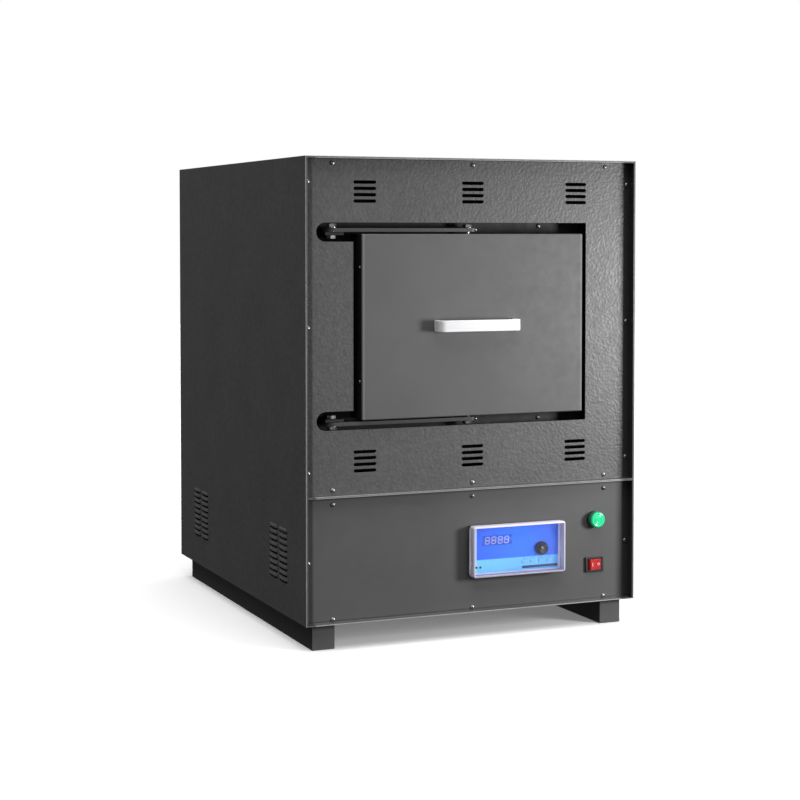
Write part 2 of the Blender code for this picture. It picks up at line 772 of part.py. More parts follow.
def make_chamber_fittings():
    hearth = box(
        "hearth_plate",
        (-HEARTH_HALF, HEARTH_Y[0], CHAMBER_LOW + GAP),
        (HEARTH_HALF, HEARTH_Y[1], CHAMBER_LOW + HEARTH_THICK),
        HEARTH,
    )
    bevel(hearth, 0.0015)
    sheath = [
        (0.0, 0.196),
        (0.013, 0.196),
        (0.015, 0.192),
        (0.015, 0.162),
        (0.006, 0.156),
        (0.004, 0.150),
        (0.004, 0.003),
        (0.0025, 0.0),
        (0.0, 0.0),
    ]
    turned("thermocouple", sheath, (0, THERMOCOUPLE_Y, THERMOCOUPLE_Z), "Y", CERAMIC, steps=16)


# ---------------------------------------------------------------- hinge and door
def make_hinges(arms):
    """Lugs and bolts on the mouth plate, and the two arms that turn on them. side is 1 for the upper hinge and
    -1 for the lower, which mirrors it."""
    for word, side, edge in (("upper", 1, DOOR_HIGH), ("lower", -1, DOOR_LOW)):
        inner_face = edge + side * ARM_OFFSET
        outer_face = inner_face + side * ARM_THICK
        lug_near = inner_face - side * GAP
        lug_far = lug_near - side * LUG_THICK
        low, high = sorted((lug_near, lug_far))
        lug = box(
            f"{word}_hinge_lug",
            (HINGE_X - LUG_HALF, HINGE_Y - LUG_REACH, low),
            (HINGE_X + LUG_HALF, MOUTH_Y - GAP, high),
            BLACK_STEEL,
        )
        low, high = sorted((lug_near, lug_far - side * LUG_FOOT_TALL))
        foot = box(
            f"{word}_lug_foot",
            (HINGE_X - LUG_HALF, MOUTH_Y - LUG_FOOT_THICK, low),
            (HINGE_X + LUG_HALF, MOUTH_Y - GAP, high),
        )
        bore = upright(f"{word}_lug_bore", HINGE_X, (inner_face - 2 * REACH, inner_face + 2 * REACH), GAP)
        cut(join(lug, foot), bore)

        head_face = lug_far - side * GAP
        head = sorted((head_face, head_face - side * BOLT_HEAD))
        bolt = prism(f"{word}_hinge_bolt", hexagon(HEX_FLATS, (HINGE_X, HINGE_Y)), *head, "Z", ZINC)
        ends = (outer_face + side * BOLT_TIP, head_face - side * 0.002)
        join(bolt, upright(f"{word}_bolt_shank", HINGE_X, ends))
        nut_face = outer_face + side * GAP
        nut = sorted((nut_face, nut_face + side * NUT_HEIGHT))
        ring = prism(f"{word}_hinge_nut", hexagon(HEX_FLATS, (HINGE_X, HINGE_Y)), *nut, "Z", ZINC)
        cut(ring, upright(f"{word}_nut_bore", HINGE_X, (nut[0] - REACH, nut[1] + REACH), 0.0002))

        half = ARM_WIDTH / 2
        outline = arc((HINGE_X, HINGE_Y), half, 90, 270, 12) + arc((0.0, HINGE_Y), half, -90, 90, 12)
        arm = prism(f"{word}_hinge_arm", outline, *sorted((inner_face, outer_face)), "Z", CASING, arms)
        bm = bmesh.new()
        for x in (HINGE_X, 0.0):
            add_cylinder(bm, (x, HINGE_Y, inner_face - 2 * REACH), 4 * REACH, BOLT_RADIUS + GAP, "Z", 20)
        cut(arm, from_bmesh(f"{word}_arm_bore", bm))


def upright(name, x, ends, clearance=0.0):
    """A shank of the hinge bolts' size, or with a clearance the hole for one, between two heights."""
    low, high = sorted(ends)
    return cylinder(name, (x, HINGE_Y, low), high - low, BOLT_RADIUS + clearance, "Z", 20)


def make_door(door):
    skin = pan(
        "door_skin",
        (-DOOR_HALF, DOOR_FRONT, DOOR_LOW),
        (DOOR_HALF, DOOR_BACK, DOOR_HIGH),
        ((0, 1, 0),),
        SHEET,
        DOOR_PAINT,
        door,
        DOOR_ROUNDING,
    )
    bm = bmesh.new()
    for side in (-1, 1):
        add_cylinder(bm, (side * HANDLE_LEG_X, DOOR_FRONT - REACH, DOOR_Z), 3 * REACH, 0.0028, "Y", 16)
    for edge in (DOOR_LOW, DOOR_HIGH):
        add_cylinder(bm, (0, HINGE_Y, edge - REACH), 2 * REACH, BOLT_RADIUS + GAP, "Z", 20)
    cut(skin, from_bmesh("door_skin_bore", bm))

    inset = SHEET + GAP
    outline = rounded_rectangle(
        (-DOOR_HALF + inset, DOOR_LOW + inset), (DOOR_HALF - inset, DOOR_HIGH - inset), 0.0012
    )
    back = prism("door_back_plate", outline, DOOR_BACK - SHEET, DOOR_BACK, "Y", BLACK_STEEL, door)
    window = [half + 2 * GAP for half in PLUG_BASE]
    cut(back, boxes("back_plate_cutter", [around(0.0, DOOR_BACK, DOOR_Z, window)]))

    plug = box(
        "door_insulation",
        (-DOOR_HALF + inset, DOOR_FRONT + SHEET + 0.006, DOOR_LOW + inset + 0.0012),
        (DOOR_HALF - inset, DOOR_BACK - SHEET - GAP, DOOR_HIGH - inset - 0.0012),
        FIBRE,
        door,
    )
    bevel(plug, 0.003)
    join(plug, frustum("plug_taper", PLUG_BASE, PLUG_TIP, DOOR_BACK - 0.010, PLUG_TIP_Y))
    bm = bmesh.new()
    for edge, side in ((DOOR_LOW, 1), (DOOR_HIGH, -1)):
        deep = PIVOT_DEPTH + 0.002
        start = edge if side > 0 else edge - deep
        add_cylinder(bm, (0, HINGE_Y, start), deep, BOLT_RADIUS + 0.001, "Z", 16)
    cut(plug, from_bmesh("plug_bolt_bore", bm))

    for word, side, edge in (("upper", 1, DOOR_HIGH), ("lower", -1, DOOR_LOW)):
        outer = edge + side * (ARM_OFFSET + ARM_THICK + GAP)
        head = sorted((outer, outer + side * PIVOT_HEAD))
        bolt = prism(f"{word}_door_pivot", hexagon(HEX_FLATS, (0, HINGE_Y)), *head, "Z", ZINC, door)
        join(bolt, upright(f"{word}_pivot_shank", 0.0, (edge - side * PIVOT_DEPTH, outer + side * 0.002)))


def make_handle(door):
    """A flat strap bent to a D, tapped in each leg for a screw from inside the door."""
    half = HANDLE_LENGTH / 2
    front = FRONT - OVERHANG
    back = DOOR_FRONT - GAP
    inner = HANDLE_CORNER - HANDLE_STRAP
    outline = [(half, back)]
    outline += arc((half - HANDLE_CORNER, front + HANDLE_CORNER), HANDLE_CORNER, 0, -90, 6)
    outline += arc((-half + HANDLE_CORNER, front + HANDLE_CORNER), HANDLE_CORNER, -90, -180, 6)
    outline += [(-half, back), (-half + HANDLE_STRAP, back)]
    outline += arc((-half + HANDLE_CORNER, front + HANDLE_CORNER), inner, -180, -90, 4)
    outline += arc((half - HANDLE_CORNER, front + HANDLE_CORNER), inner, -90, 0, 4)
    outline += [(half - HANDLE_STRAP, back)]
    grip = prism(
        "door_handle", outline, DOOR_Z - HANDLE_TALL / 2, DOOR_Z + HANDLE_TALL / 2, "Z", ALUMINIUM, door
    )
    bm = bmesh.new()
    for side in (-1, 1):
        add_cylinder(bm, (side * HANDLE_LEG_X, back - REACH, DOOR_Z), 2 * REACH, 0.0018, "Y", 12)
    cut(grip, from_bmesh("handle_tapping", bm))


# ---------------------------------------------------------------- controls
def make_controller():
    half_x, half_z = PANEL_WIDTH / 2, PANEL_TALL / 2
    body_x, body_z = CASE_HALF
    flange_left = PANEL_X - half_x + 0.0022
    housing = box(
        "controller_housing",
        (flange_left, FRAME_FRONT, PANEL_Z - half_z),
        (PANEL_X + half_x, FASCIA_Y - GAP, PANEL_Z + half_z),
        BLACK_PLASTIC,
    )
    body = box(
        "controller_body",
        (PANEL_X - body_x, FASCIA_Y - 0.003, PANEL_Z - body_z),
        (PANEL_X + body_x, CASE_BACK, PANEL_Z + body_z),
    )
    knuckle = along_pin("housing_knuckle", KNUCKLE_HALF, KNUCKLE_RADIUS)
    web = box(
        "housing_web",
        (HINGE_PIN_X, HINGE_PIN_Y + 0.0006, PANEL_Z - KNUCKLE_HALF),
        (flange_left + 0.002, FASCIA_Y - 2 * GAP, PANEL_Z + KNUCKLE_HALF),
    )
    pocket = boxes(
        "controller_pocket",
        [
            (
                (PANEL_X - body_x + COVER_WALL, FRAME_FRONT - REACH, PANEL_Z - body_z + COVER_WALL),
                (PANEL_X + body_x - COVER_WALL, CASE_BACK - COVER_WALL, PANEL_Z + body_z - COVER_WALL),
            )
        ],
    )
    bore = along_pin("knuckle_bore", KNUCKLE_HALF + REACH, PIN_BORE)
    cut(join(housing, body, knuckle, web), pocket, bore)

    face_half_x, face_half_z = body_x - 0.0023, body_z - 0.0023
    plate = box(
        "controller_faceplate",
        (PANEL_X - face_half_x, FRAME_FRONT + 0.0002, PANEL_Z - face_half_z),
        (PANEL_X + face_half_x, FRAME_FRONT + 0.0020, PANEL_Z + face_half_z),
        BLUE_LABEL,
    )
    holes = [slot_box(DISPLAY_X, DISPLAY_Z, DISPLAY_SIZE[0], DISPLAY_SIZE[1])]
    holes += [slot_box(x, KEY_Z, KEY_SIZE[0] + 0.0006, KEY_SIZE[1] + 0.0006) for x in KEY_X]
    knob_hole = cylinder("knob_hole_cutter", (KNOB_X, FRAME_FRONT - 0.01, KNOB_Z), 0.02, 0.0034, "Y", 16)
    cut(plate, boxes("faceplate_cutter", holes), knob_hole)
    display = slot_box(DISPLAY_X, DISPLAY_Z, DISPLAY_SIZE[0] - 2 * GAP, DISPLAY_SIZE[1] - 2 * GAP)
    box(
        "display_module",
        (display[0][0], FRAME_FRONT + 0.0004, display[0][2]),
        (display[1][0], FRAME_FRONT + 0.0110, display[1][2]),
        DISPLAY_BLUE,
    )


def slot_box(x, z, width, tall):
    """A box through the faceplate, centred on x and z."""
    return around(x, FRAME_FRONT, z, (width / 2, tall / 2))


def along_pin(name, half, radius, finish=None):
    """A cylinder round the cover's hinge pin, half its length each way from the middle of the controller."""
    start = (HINGE_PIN_X, HINGE_PIN_Y, PANEL_Z - half)
    return cylinder(name, start, 2 * half, radius, "Z", 12, finish)


def make_cover():
    """The clear lid over the controller, with a knuckle near each end of its left edge."""
    hinge = pivot("controller_cover_axis", (HINGE_PIN_X, HINGE_PIN_Y, PANEL_Z))
    half_x, half_z = PANEL_WIDTH / 2, PANEL_TALL / 2
    cover = pan(
        "controller_cover",
        (PANEL_X - half_x, COVER_FRONT, PANEL_Z - half_z),
        (PANEL_X + half_x, FRAME_FRONT - GAP, PANEL_Z + half_z),
        ((0, 1, 0),),
        COVER_WALL,
        CLEAR,
        hinge,
        (0.0025, 2),
    )
    notch_half = KNUCKLE_HALF + 0.0005
    notch = boxes(
        "cover_notch",
        [
            (
                (HINGE_PIN_X - 0.002, HINGE_PIN_Y - 0.0022, PANEL_Z - notch_half),
                (HINGE_PIN_X + 0.003, FRAME_FRONT + 0.001, PANEL_Z + notch_half),
            )
        ],
    )
    cut(cover, notch)
    knuckle_length = 0.014
    bm = bmesh.new()
    for z in (PANEL_Z - notch_half - knuckle_length, PANEL_Z + notch_half):
        add_cylinder(bm, (HINGE_PIN_X, HINGE_PIN_Y, z), knuckle_length, KNUCKLE_RADIUS, "Z", 12)
    join(cover, from_bmesh("cover_knuckles", bm))
    cut(cover, along_pin("cover_pin_bore", 0.06, PIN_BORE))
    along_pin("cover_hinge_pin", 0.034, PIN_RADIUS, ZINC)


def make_knob_and_keys():
    axis = pivot("controller_knob_axis", (KNOB_X, FRAME_FRONT, KNOB_Z))
    profile = [
        (0.0, 0.0170),
        (0.0030, 0.0170),
        (0.0030, 0.0095),
        (KNOB_RADIUS, 0.0095),
        (KNOB_RADIUS, 0.0070),
        (0.0085, 0.0062),
        (0.0080, 0.0006),
        (0.0074, 0.0),
        (0.0, 0.0),
    ]
    knob = turned("controller_knob", profile, (KNOB_X, KNOB_FRONT, KNOB_Z), "Y", BLACK_PLASTIC)
    knob.parent = axis
    knob.matrix_parent_inverse = axis.matrix_world.inverted()
    for word, x in zip(("set_key", "shift_key", "down_key", "up_key"), KEY_X):
        half_x, half_z = KEY_SIZE[0] / 2, KEY_SIZE[1] / 2
        key = box(
            word,
            (x - half_x, FRAME_FRONT - 0.0012, KEY_Z - half_z),
            (x + half_x, FRAME_FRONT + 0.0050, KEY_Z + half_z),
            KEY_RUBBER,
        )
        bevel(key, 0.0004)


def make_lamp():
    body = [
        (0.0, 0.0530),
        (0.0090, 0.0530),
        (0.0110, 0.0500),
        (0.0110, LAMP_FLANGE),
        (LAMP_RADIUS + 0.0005, LAMP_FLANGE),
        (LAMP_RADIUS + 0.0005, 0.0),
        (0.0, 0.0),
    ]
    place = (LAMP_X, FASCIA_Y - GAP - LAMP_FLANGE, LAMP_Z)
    turned("lamp_body", body, place, "Y", BLACK_PLASTIC, steps=28)
    lens = [
        (0.0, 0.0104),
        (LAMP_RADIUS, 0.0104),
        (LAMP_RADIUS, 0.0024),
        (LAMP_RADIUS - 0.0008, 0.0008),
        (LAMP_RADIUS - 0.0026, 0.0),
        (0.0, 0.0),
    ]
    turned("lamp_lens", lens, (LAMP_X, LAMP_FRONT, LAMP_Z), "Y", GREEN_LENS, steps=28)
    outline = hexagon(LAMP_NUT_FLATS, (LAMP_X, LAMP_Z))
    near = FASCIA_BACK + GAP
    ring = prism("lamp_nut", outline, near, near + LAMP_NUT_THICK, "Y", BLACK_PLASTIC)
    cut(ring, cylinder("lamp_nut_bore", (LAMP_X, near - REACH, LAMP_Z), 3 * REACH, LAMP_HOLE, "Y", 28))


def make_switch():
    half_x, half_z = SWITCH_SIZE[0] / 2, SWITCH_SIZE[1] / 2
    flange_front = FASCIA_Y - 0.0033
    housing = box(
        "switch_housing",
        (SWITCH_X - half_x, flange_front, SWITCH_Z - half_z),
        (SWITCH_X + half_x, FASCIA_Y - GAP, SWITCH_Z + half_z),
        BLACK_PLASTIC,
    )
    body_x, body_z = SWITCH_BODY_HALF
    body = box(
        "switch_body",
        (SWITCH_X - body_x, FASCIA_Y - 0.002, SWITCH_Z - body_z),
        (SWITCH_X + body_x, SWITCH_BACK, SWITCH_Z + body_z),
    )
    pocket_x, pocket_z = ROCKER_HALF[0] + 0.0015, ROCKER_HALF[1] + 0.0004
    pocket = box(
        "switch_pocket",
        (SWITCH_X - pocket_x, FASCIA_Y - 2 * REACH, SWITCH_Z - pocket_z),
        (SWITCH_X + pocket_x, SWITCH_POCKET_BACK, SWITCH_Z + pocket_z),
    )
    cut(join(housing, body), pocket)

    axis = pivot("switch_rocker_axis", (SWITCH_X, ROCKER_AXIS_Y, SWITCH_Z))
    reach, raised, dip, low = ROCKER_HALF[0], 0.0072, 0.0050, 0.0060
    outline = [(-reach, -raised), (0.0, -dip), (reach, -raised), (reach, 0.0)]
    outline += [(0.003, low), (-0.003, low), (-reach, 0.0)]
    rocker = prism("switch_rocker", outline, -ROCKER_HALF[1], ROCKER_HALF[1], "Z", RED_PLASTIC)
    tilt = Matrix.Rotation(ROCKER_TILT, 4, "Z")
    rocker.matrix_world = Matrix.Translation((SWITCH_X, ROCKER_AXIS_Y, SWITCH_Z)) @ tilt
    rocker.parent = axis
    rocker.matrix_parent_inverse = axis.matrix_world.inverted()


# ---------------------------------------------------------------- electrics
def make_electrics():
    """What switches and joins the mains in the lower compartment."""
    floor = PLATE_Z + SHEET + GAP
    fins, pitch, fin, web, tall = 9, 0.011, 0.002, 0.006, 0.034
    left, right = -0.150, -0.150 + (fins - 1) * pitch + fin
    outline = [(left, floor)]
    for i in range(fins):
        x = left + i * pitch
        outline += [(x, floor + web), (x, floor + tall), (x + fin, floor + tall), (x + fin, floor + web)]
    outline.append((right, floor))
    # The end fins rise straight from the web's ends.
    outline = [point for point in outline if point not in ((left, floor + web), (right, floor + web))]
    prism("heat_sink", outline, 0.060, 0.180, "Y", ALUMINIUM)

    top = floor + tall + GAP
    relay = box("solid_state_relay", (-0.128, 0.090, top), (-0.083, 0.150, top + 0.026), BLACK_PLASTIC)
    bevel(relay, 0.0015)

    block_x, block_y, block_tall = (0.090, 0.190), (0.215, 0.247), 0.026
    low = (block_x[0], block_y[0], floor)
    high = (block_x[1], block_y[1], floor + block_tall)
    block = box("mains_terminal_block", low, high, BLACK_PLASTIC)
    ways, way_pitch, well_x, well_y = 6, 0.0145, 0.0115, 0.011
    wells = []
    for i in range(ways):
        x = block_x[0] + 0.008 + i * way_pitch
        for y in (block_y[0] + 0.0025, block_y[0] + 0.0185):
            wells.append(((x, y, floor + 0.012), (x + well_x, y + well_y, floor + 0.040)))
    cut(block, boxes("terminal_wells", wells))


# ---------------------------------------------------------------- assembly
arms_axis = pivot("door_arms_axis", (HINGE_X, HINGE_Y, DOOR_Z))
door_axis = pivot("door_axis", (0.0, HINGE_Y, DOOR_Z))
door_axis.parent = arms_axis
door_axis.matrix_parent_inverse = arms_axis.matrix_world.inverted()
bpy.context.view_layer.update()

make_wrap()
make_floor_and_skids()
make_upper_fascia()
make_lower_fascia()
make_rear()
make_deck()
make_mouth()
make_shell()
make_insulation()
make_elements()
make_chamber_fittings()
make_hinges(arms_axis)
make_door(door_axis)
make_handle(door_axis)
make_controller()
make_cover()
make_knob_and_keys()
make_lamp()
make_switch()
make_electrics()
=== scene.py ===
"""Looks for the front-loading chamber kiln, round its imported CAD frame. Metres, +Z up, front towards -Y."""

import json
import math

import bmesh
import bpy
from mathutils import Matrix, Vector


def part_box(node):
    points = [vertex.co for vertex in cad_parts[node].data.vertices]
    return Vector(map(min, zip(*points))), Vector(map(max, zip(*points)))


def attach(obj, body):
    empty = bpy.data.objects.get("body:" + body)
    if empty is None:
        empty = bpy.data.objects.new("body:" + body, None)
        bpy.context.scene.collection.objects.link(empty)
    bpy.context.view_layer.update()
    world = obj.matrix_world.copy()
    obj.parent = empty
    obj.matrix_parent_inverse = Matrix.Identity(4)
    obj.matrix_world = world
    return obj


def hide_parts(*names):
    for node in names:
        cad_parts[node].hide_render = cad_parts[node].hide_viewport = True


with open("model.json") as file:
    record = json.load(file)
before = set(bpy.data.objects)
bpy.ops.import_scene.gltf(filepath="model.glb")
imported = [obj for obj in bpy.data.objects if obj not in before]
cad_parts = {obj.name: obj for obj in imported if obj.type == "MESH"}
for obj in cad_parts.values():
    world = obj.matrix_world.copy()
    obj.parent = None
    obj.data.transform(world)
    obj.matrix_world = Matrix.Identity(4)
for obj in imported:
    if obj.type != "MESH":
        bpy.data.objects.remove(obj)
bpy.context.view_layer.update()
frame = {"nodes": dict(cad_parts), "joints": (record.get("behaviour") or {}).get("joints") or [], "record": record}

NODES = frame["nodes"]
RECORD = frame["record"]
# A point on the axis of each joint that turns.
JOINT_AT = {joint["name"]: Vector(joint["pos_m"]) for joint in frame["joints"] if "pos_m" in joint}

# ---------------------------------------------------------------- places, from the frame
FASCIA_LOW, FASCIA_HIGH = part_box("upper_fascia")
PANEL_LOW, PANEL_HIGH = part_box("lower_fascia")
DOOR_LOW, DOOR_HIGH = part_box("door_skin")
HANDLE_LOW, HANDLE_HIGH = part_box("door_handle")
COVER_LOW, COVER_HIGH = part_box("controller_cover")
LABEL_LOW, LABEL_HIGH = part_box("controller_faceplate")
LAMP_LOW, LAMP_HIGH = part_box("lamp_lens")
REAR_LOW, REAR_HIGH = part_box("rear_panel")
CABINET_LOW, CABINET_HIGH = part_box("outer_wrap")
SKID_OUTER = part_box("right_skid")[1].x

RECESS = 0.015  # from the edge of the wrap back to the front panels
GAP = 0.0003  # between touching CAD pieces
FASCIA_Y = FASCIA_LOW.y + RECESS
DOOR_Z = (DOOR_LOW.z + DOOR_HIGH.z) / 2
HINGE = JOINT_AT["door_hinge"]
PIVOT = JOINT_AT["door_self_align"]
KNOB = JOINT_AT["knob_turn"]
ROCKER = JOINT_AT["power_rocker"]
KEYS = ("set_key", "shift_key", "down_key", "up_key")

X, Y, Z = Vector((1, 0, 0)), Vector((0, 1, 0)), Vector((0, 0, 1))

# ---------------------------------------------------------------- node helpers
# The Mix node's sockets for colours, which share their names with its sockets for numbers.
MIX_FACTOR, MIX_FIRST, MIX_SECOND, MIX_RESULT = 0, 6, 7, 2
# Every material made here, by the name it was given. Blender renames one that shares a CAD material's name.
MATERIALS = {}


class Nodes:
    """Short ways to add nodes to a shader tree and to join them."""

    def __init__(self, tree):
        self.tree = tree

    def node(self, kind, **values):
        made = self.tree.nodes.new(kind)
        for key, value in values.items():
            setattr(made, key, value)
        return made

    def link(self, source, target):
        self.tree.links.new(source, target)
        return self

    def axis(self, coordinates, axis):
        """One axis of a kind of texture coordinates."""
        coords = self.node("ShaderNodeTexCoord")
        split = self.node("ShaderNodeSeparateXYZ")
        self.link(coords.outputs[coordinates], split.inputs["Vector"])
        return split.outputs[axis]

    def remap(self, value, start, end, low=0.0, high=1.0):
        """Low where the value is at start, high where it is at end, and held between them."""
        made = self.node("ShaderNodeMapRange")
        for socket, number in (("From Min", start), ("From Max", end), ("To Min", low), ("To Max", high)):
            made.inputs[socket].default_value = number
        self.link(value, made.inputs["Value"])
        return made.outputs["Result"]


class Paint(Nodes):
    """A Principled material and short ways to feed it procedural detail."""

    def __init__(self, name, colour, **values):
        self.material = bpy.data.materials.new(name)
        self.material.use_nodes = True
        MATERIALS[name] = self.material
        super().__init__(self.material.node_tree)
        self.shader = self.tree.nodes["Principled BSDF"]
        self.set("Base Color", (*colour, 1.0))
        for key, value in values.items():
            self.set(key.replace("_", " ").title().replace("Ior", "IOR"), value)

    def set(self, socket, value):
        self.shader.inputs[socket].default_value = value

    def place(self, stretch=(1.0, 1.0, 1.0)):
        """Object coordinates, in metres, stretched along each axis."""
        coords = self.node("ShaderNodeTexCoord")
        mapping = self.node("ShaderNodeMapping")
        mapping.inputs["Scale"].default_value = stretch
        self.link(coords.outputs["Object"], mapping.inputs["Vector"])
        return mapping.outputs["Vector"]

    def noise(self, size, detail=2.0, stretch=(1.0, 1.0, 1.0), roughness=0.5):
        """Noise whose blotches are about size metres across."""
        made = self.node("ShaderNodeTexNoise")
        made.inputs["Scale"].default_value = 1.0 / size
        made.inputs["Detail"].default_value = detail
        made.inputs["Roughness"].default_value = roughness
        self.link(self.place(stretch), made.inputs["Vector"])
        return made.outputs["Fac"]

    def cells(self, size):
        """Cells about size metres across, each of its own random colour."""
        made = self.node("ShaderNodeTexVoronoi", feature="F1")
        made.inputs["Scale"].default_value = 1.0 / size
        self.link(self.place(), made.inputs["Vector"])
        return made.outputs["Color"]

    def ramp(self, fac, *stops):
        """A colour ramp. Each stop is (position, colour or grey)."""
        made = self.node("ShaderNodeValToRGB")
        elements = made.color_ramp.elements
        for i, (position, colour) in enumerate(stops):
            stop = elements[i] if i < 2 else elements.new(position)
            stop.position = position
            rgb = (colour,) * 3 if isinstance(colour, (int, float)) else colour
            stop.color = (*rgb, 1.0)
        self.link(fac, made.inputs["Fac"])
        return made.outputs["Color"]

    def tints(self, fac, colour, low, high):
        """The colour made from low to high times as bright."""
        return self.ramp(fac, (0.3, tinted(colour, low)), (0.7, tinted(colour, high)))

    def mix(self, fac, first, second, blend="MIX"):
        """Two colours mixed. Each value is a socket, or the factor a number and the others a colour."""
        made = self.node("ShaderNodeMix", data_type="RGBA", blend_type=blend)
        for index, value in ((MIX_FACTOR, fac), (MIX_FIRST, first), (MIX_SECOND, second)):
            if isinstance(value, bpy.types.NodeSocket):
                self.link(value, made.inputs[index])
            else:
                made.inputs[index].default_value = (*value, 1.0) if isinstance(value, tuple) else value
        return made.outputs[MIX_RESULT]

    def across(self, axis, start, end, mirror=False):
        """A mask from 0 to 1 between two object coordinates, or between two distances either side of 0."""
        value = self.axis("Object", axis)
        if mirror:
            size = self.node("ShaderNodeMath", operation="ABSOLUTE")
            self.link(value, size.inputs[0])
            value = size.outputs["Value"]
        return self.remap(value, start, end)

    def banded(self, tone, bands):
        """Painted light and shade: the tone made gain times as bright past the end of each band: (gain, axis,
        start, end, mirror).
        """
        for gain, *place in bands:
            tone = self.mix(self.across(*place), tone, (gain, gain, gain), "MULTIPLY")
        return tone

    def colour(self, socket):
        return self.link(socket, self.shader.inputs["Base Color"])

    def roughness(self, socket):
        return self.link(socket, self.shader.inputs["Roughness"])

    def bump(self, height, strength, depth):
        """Bump of about depth metres. A second call adds to the first."""
        made = self.node("ShaderNodeBump")
        made.inputs["Strength"].default_value = strength
        made.inputs["Distance"].default_value = depth
        self.link(height, made.inputs["Height"])
        for earlier in self.shader.inputs["Normal"].links:
            self.link(earlier.from_socket, made.inputs["Normal"])
        return self.link(made.outputs["Normal"], self.shader.inputs["Normal"])


def tinted(colour, gain):
    return tuple(channel * gain for channel in colour)


# ---------------------------------------------------------------- materials
def powder_coat(name, colour, roughness, dimple=None, depth=0.0, bands=()):
    """Baked powder coat: hammered dimples over a fine orange peel, with a faint drift of tone and gloss. Its bands
    paint light and shade: painted highlights along edges, and painted shade in corners and on sides."""
    paint = Paint(name, colour, roughness=roughness, specular_ior_level=0.5)
    tone = paint.tints(paint.noise(0.09, 3.0), colour, 0.94, 1.06)
    if dimple:
        mottle = paint.noise(dimple * 1.2, 2.0)
        tone = paint.mix(1.0, tone, paint.ramp(mottle, (0.35, 0.90), (0.65, 1.12)), "MULTIPLY")
    paint.colour(paint.banded(tone, bands))
    gloss = paint.noise(0.012, 3.0)
    paint.roughness(paint.ramp(gloss, (0.3, roughness - 0.04), (0.7, roughness + 0.05)))
    if dimple:
        paint.bump(paint.noise(dimple, 1.0), 0.8, depth)
    paint.bump(paint.noise(0.0011, 2.0), 0.3, 0.00005)


def plated(name, colour, roughness):
    """Zinc-plated or turned metal, with fine tool marks and small changes of gloss."""
    paint = Paint(name, colour, metallic=1.0, roughness=roughness)
    paint.colour(paint.tints(paint.noise(0.004, 3.0), colour, 0.85, 1.08))
    gloss = paint.noise(0.002, 3.0)
    paint.roughness(paint.ramp(gloss, (0.3, roughness - 0.07), (0.75, roughness + 0.1)))
    paint.bump(paint.noise(0.0006, 2.0, (1, 1, 6)), 0.25, 0.00005)


def galvanised(name):
    """Zinc spangle: flat crystals of slightly different grey and gloss."""
    paint = Paint(name, (0.4, 0.41, 0.43), metallic=0.9, roughness=0.45)
    crystal = paint.cells(0.009)
    paint.colour(paint.ramp(crystal, (0.2, (0.26, 0.27, 0.29)), (0.8, (0.46, 0.47, 0.49))))
    paint.roughness(paint.ramp(crystal, (0.2, 0.36), (0.8, 0.55)))
    paint.bump(paint.noise(0.02, 3.0), 0.2, 0.0003)


def satin_aluminium(name):
    """Extruded strap, brushed along its length and clear anodised."""
    paint = Paint(name, (0.96, 0.96, 0.97), metallic=0.1, roughness=0.36)
    grain = paint.noise(0.0009, 4.0, (0.03, 1, 1))
    paint.colour(paint.ramp(grain, (0.3, (0.88, 0.88, 0.90)), (0.7, (0.96, 0.96, 0.97))))
    paint.roughness(paint.ramp(grain, (0.3, 0.30), (0.7, 0.42)))
    paint.bump(grain, 0.2, 0.00004)


def fibre_board(name, colour):
    """Vacuum-formed ceramic fibre: chalky, matted, with short fibres and a few darker specks."""
    paint = Paint(name, colour, roughness=0.95, specular_ior_level=0.15)
    tone = paint.tints(paint.noise(0.014, 6.0, (1, 1, 1), 0.65), colour, 0.86, 1.05)
    specks = paint.ramp(paint.noise(0.0016, 2.0), (0.66, 1.0), (0.74, 0.72))
    paint.colour(paint.mix(1.0, tone, specks, "MULTIPLY"))
    paint.bump(paint.noise(0.0035, 6.0, (0.35, 1, 1), 0.7), 0.7, 0.0006)
    paint.bump(paint.noise(0.0012, 3.0), 0.4, 0.0002)


def woven_tape(name):
    """Braided ceramic-fibre gasket."""
    paint = Paint(name, (0.75, 0.73, 0.67), roughness=0.9)
    weave = paint.node("ShaderNodeTexWave", wave_type="BANDS", bands_direction="DIAGONAL")
    weave.inputs["Scale"].default_value = 260.0
    weave.inputs["Distortion"].default_value = 1.5
    paint.link(paint.place(), weave.inputs["Vector"])
    paint.colour(paint.ramp(weave.outputs["Fac"], (0.2, (0.55, 0.53, 0.48)), (0.8, (0.80, 0.78, 0.72))))
    paint.bump(weave.outputs["Fac"], 0.7, 0.0004)


def clouded(name, colour, dark, pale, size, grain, strength, **values):
    """A surface clouded between two tones, with a fine grain: glazed ceramic, or oxidised wire."""
    paint = Paint(name, colour, **values)
    paint.colour(paint.ramp(paint.noise(size, 4.0), (0.3, dark), (0.7, pale)))
    paint.bump(paint.noise(grain, 3.0), strength, 0.0001)


def carbide(name):
    """Silicon carbide kiln shelf: dark, gritty, with glinting grains."""
    paint = Paint(name, (0.06, 0.06, 0.065), roughness=0.7)
    grit = paint.cells(0.0016)
    paint.colour(paint.ramp(grit, (0.2, (0.035, 0.035, 0.04)), (0.95, (0.13, 0.13, 0.14))))
    paint.roughness(paint.ramp(grit, (0.5, 0.8), (0.9, 0.4)))
    paint.bump(paint.noise(0.0014, 4.0), 0.7, 0.0004)


def moulded(name, colour, roughness, grain=0.0009, **values):
    """Injection-moulded plastic with a spark-eroded grain."""
    paint = Paint(name, colour, roughness=roughness, **values)
    gloss = paint.noise(0.006, 3.0)
    paint.roughness(paint.ramp(gloss, (0.3, roughness - 0.05), (0.7, roughness + 0.07)))
    paint.bump(paint.noise(grain, 3.0), 0.25, 0.00006)


